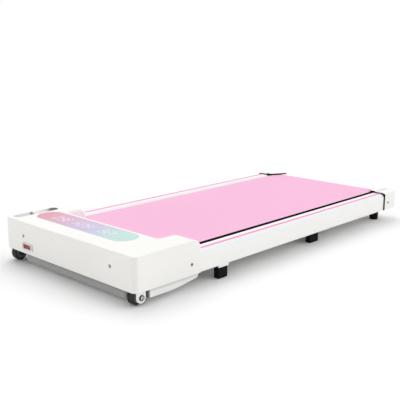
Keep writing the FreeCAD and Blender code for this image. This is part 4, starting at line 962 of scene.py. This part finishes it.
# Rubber bead that stands up from the seam, across the top of a rail
def make_seam_bead(made, side):
    seam_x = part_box("end_cap_gasket_" + side)[0].x
    rail_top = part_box("side_rail_" + side)[1].z
    sign = 1 if side == "right" else -1
    reach = sorted(sign * place for place in SEAM_REACH)
    start = (seam_x - SEAM_LAP, reach[0], rail_top - SEAM_PROUD)
    end = (seam_x + SEAM_WIDTH, reach[1], rail_top + SEAM_PROUD)
    build = bmesh.new()
    add_block(build, start, end, foot_share=1.0, rounding=SEAM_ROUND)
    mesh = finish_mesh("seam_bead_" + side, build)
    add_piece("seam_bead_" + side, mesh, [made["black_rubber"]], "chassis")


# Rubber block under each rail
def make_block_feet(made, node):
    low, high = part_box(node)
    build = bmesh.new()
    for start in (low.y, high.y - FOOT_WIDTH):
        corner = (high.x, start + FOOT_WIDTH, high.z)
        add_block(build, (low.x, start, low.z), corner, FOOT_TAPER, FOOT_ROUND)
    mesh = finish_mesh(node + "_rubber", build)
    piece = add_piece(node + "_rubber", mesh, [made["black_rubber"]], "chassis")
    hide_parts(node)


# Half section of a rear foot, from the floor to its collar
def rear_foot_profile(top_radius, height):
    rim = REAR_FOOT_RIM
    collar = height - REAR_FOOT_COLLAR
    neck = top_radius * REAR_FOOT_NECK_SHARE
    profile = []
    for i in range(REAR_FOOT_RIM_STEPS + 1):
        turn = math.pi / 2 * i / REAR_FOOT_RIM_STEPS
        profile.append((REAR_FOOT_RADIUS - rim + rim * math.sin(turn), rim - rim * math.cos(turn)))
    for i in range(1, REAR_FOOT_WALL_STEPS + 1):
        share = i / REAR_FOOT_WALL_STEPS
        radius = REAR_FOOT_RADIUS + (neck - REAR_FOOT_RADIUS) * share
        profile.append((radius, rim + (collar - rim) * share))
    profile += [(top_radius, collar + REAR_FOOT_LIP), (top_radius, height)]
    return profile


# Tapered round feet with a rolled lower rim
def make_rear_feet(made):
    low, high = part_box("rear_feet")
    top_radius = (high.x - low.x) / 2
    middle_x = (low.x + high.x) / 2
    profile = rear_foot_profile(top_radius, high.z - low.z)
    build = bmesh.new()
    for middle_y in (low.y + top_radius, high.y - top_radius):
        rings = turned(
            build, profile, REAR_FOOT_STEPS, lambda a, b, along: (middle_x + a, middle_y + b, along))
        fill_rings(build, rings)
    mesh = finish_mesh("rear_feet_rubber", build)
    piece = add_piece("rear_feet_rubber", mesh, [made["black_rubber"]], "chassis")
    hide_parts("rear_feet")


# Glow that is strongest from one direction and gone at right angles to it
def glow(tree, direction, source, level):
    dot = tree.nodes.new("ShaderNodeVectorMath")
    dot.operation = "DOT_PRODUCT"
    tree.links.new(direction, dot.inputs[0])
    dot.inputs[1].default_value = Vector(source).normalized()
    ahead = arithmetic(tree, "MAXIMUM", dot.outputs["Value"], 0.0)
    narrowed = arithmetic(tree, "POWER", ahead, GLOW_POWER)
    return arithmetic(tree, "MULTIPLY", narrowed, level)


# Strength of the surroundings: even, brighter overhead and from two sides, darker behind the camera
def sky_strength(tree):
    direction = tree.nodes.new("ShaderNodeTexCoord").outputs["Generated"]
    total = glow(tree, direction, (0, 0, 1), SKY_TOP)
    glows = ((SIDE_GLOW_FROM, SIDE_GLOW), (FRONT_GLOW_FROM, FRONT_GLOW), (NEAR_DIP_FROM, NEAR_DIP))
    for source, level in glows:
        total = arithmetic(tree, "ADD", total, glow(tree, direction, source, level))
    total = arithmetic(tree, "ADD", total, SKY_LOW)
    return arithmetic(tree, "MAXIMUM", total, 0.0)


# Even white surroundings for what the camera, gloss and glass see, softer light for the rest
def make_world():
    world = bpy.data.worlds.new("studio")
    bpy.context.scene.world = world
    world.use_nodes = True
    tree = world.node_tree
    tree.nodes.clear()
    white = {"Color": (1.0, 1.0, 1.0, 1.0)}
    seen = add_node(tree, "ShaderNodeBackground", white)
    light = add_node(tree, "ShaderNodeBackground", white)
    tree.links.new(sky_strength(tree), light.inputs["Strength"])
    rays = tree.nodes.new("ShaderNodeLightPath").outputs
    direct = arithmetic(tree, "MAXIMUM", rays["Is Camera Ray"], rays["Is Glossy Ray"])
    through = arithmetic(tree, "MAXIMUM", direct, rays["Is Transmission Ray"])
    mix = tree.nodes.new("ShaderNodeMixShader")
    tree.links.new(through, mix.inputs["Fac"])
    tree.links.new(light.outputs["Background"], mix.inputs[1])
    tree.links.new(seen.outputs["Background"], mix.inputs[2])
    output = tree.nodes.new("ShaderNodeOutputWorld")
    tree.links.new(mix.outputs["Shader"], output.inputs["Surface"])


# Broad soft key from above
def make_key():
    lamp = bpy.data.lights.new("key", "SUN")
    lamp.energy = KEY_LEVEL
    lamp.angle = math.radians(KEY_SPREAD)
    key = bpy.data.objects.new("key", lamp)
    bpy.context.scene.collection.objects.link(key)
    key.visible_glossy = False
    key.rotation_mode = "QUATERNION"
    key.rotation_quaternion = Vector(KEY_AIM).to_track_quat("-Z", "Y")


def floor_white():
    material = new_material("floor_white")
    tree = material.node_tree
    soft = noise(tree, object_place(tree), scale=3.0, detail=2.0)
    tone = (FLOOR_TONE, FLOOR_TONE, FLOOR_TONE)
    colours = ((NOISE_LOW, shaded(tone, FLOOR_DARK_SHARE)), (NOISE_HIGH, tone))
    tree.links.new(ramp(tree, soft, colours), shader_of(material).inputs["Base Color"])
    return set_sockets(material, {"Roughness": 0.9, "Specular IOR Level": 0.1})


# Pale matt floor
def make_floor():
    build = bmesh.new()
    bmesh.ops.create_grid(build, x_segments=2, y_segments=2, size=FLOOR_HALF)
    floor = bpy.data.objects.new("floor", finish_mesh("floor", build))
    bpy.context.scene.collection.objects.link(floor)
    floor.data.materials.append(floor_white())


def make_camera():
    lens = bpy.data.cameras.new("camera")
    lens.lens = CAMERA_LENS
    lens.sensor_width = CAMERA_SENSOR
    camera = bpy.data.objects.new("camera", lens)
    bpy.context.scene.collection.objects.link(camera)
    camera.location = CAMERA_PLACE
    camera.rotation_euler = (math.radians(90 - CAMERA_PITCH), 0, math.radians(CAMERA_YAW))
    bpy.context.scene.camera = camera


def main():
    bpy.context.scene.view_settings.view_transform = "Standard"
    made = paint_nodes()
    make_belt(made)
    window_top = make_window(made)
    make_numbers(window_top)
    for side in SIDES:
        make_rail_flange(made, side)
        make_stripe(made, side)
        make_seam_bead(made, side)
        make_tyre(made, side)
        make_bolt_dome(made, side)
    make_screws()
    make_block_feet(made, "front_feet")
    make_block_feet(made, "middle_feet")
    make_rear_feet(made)
    make_world()
    make_key()
    make_floor()
    make_camera()


main()
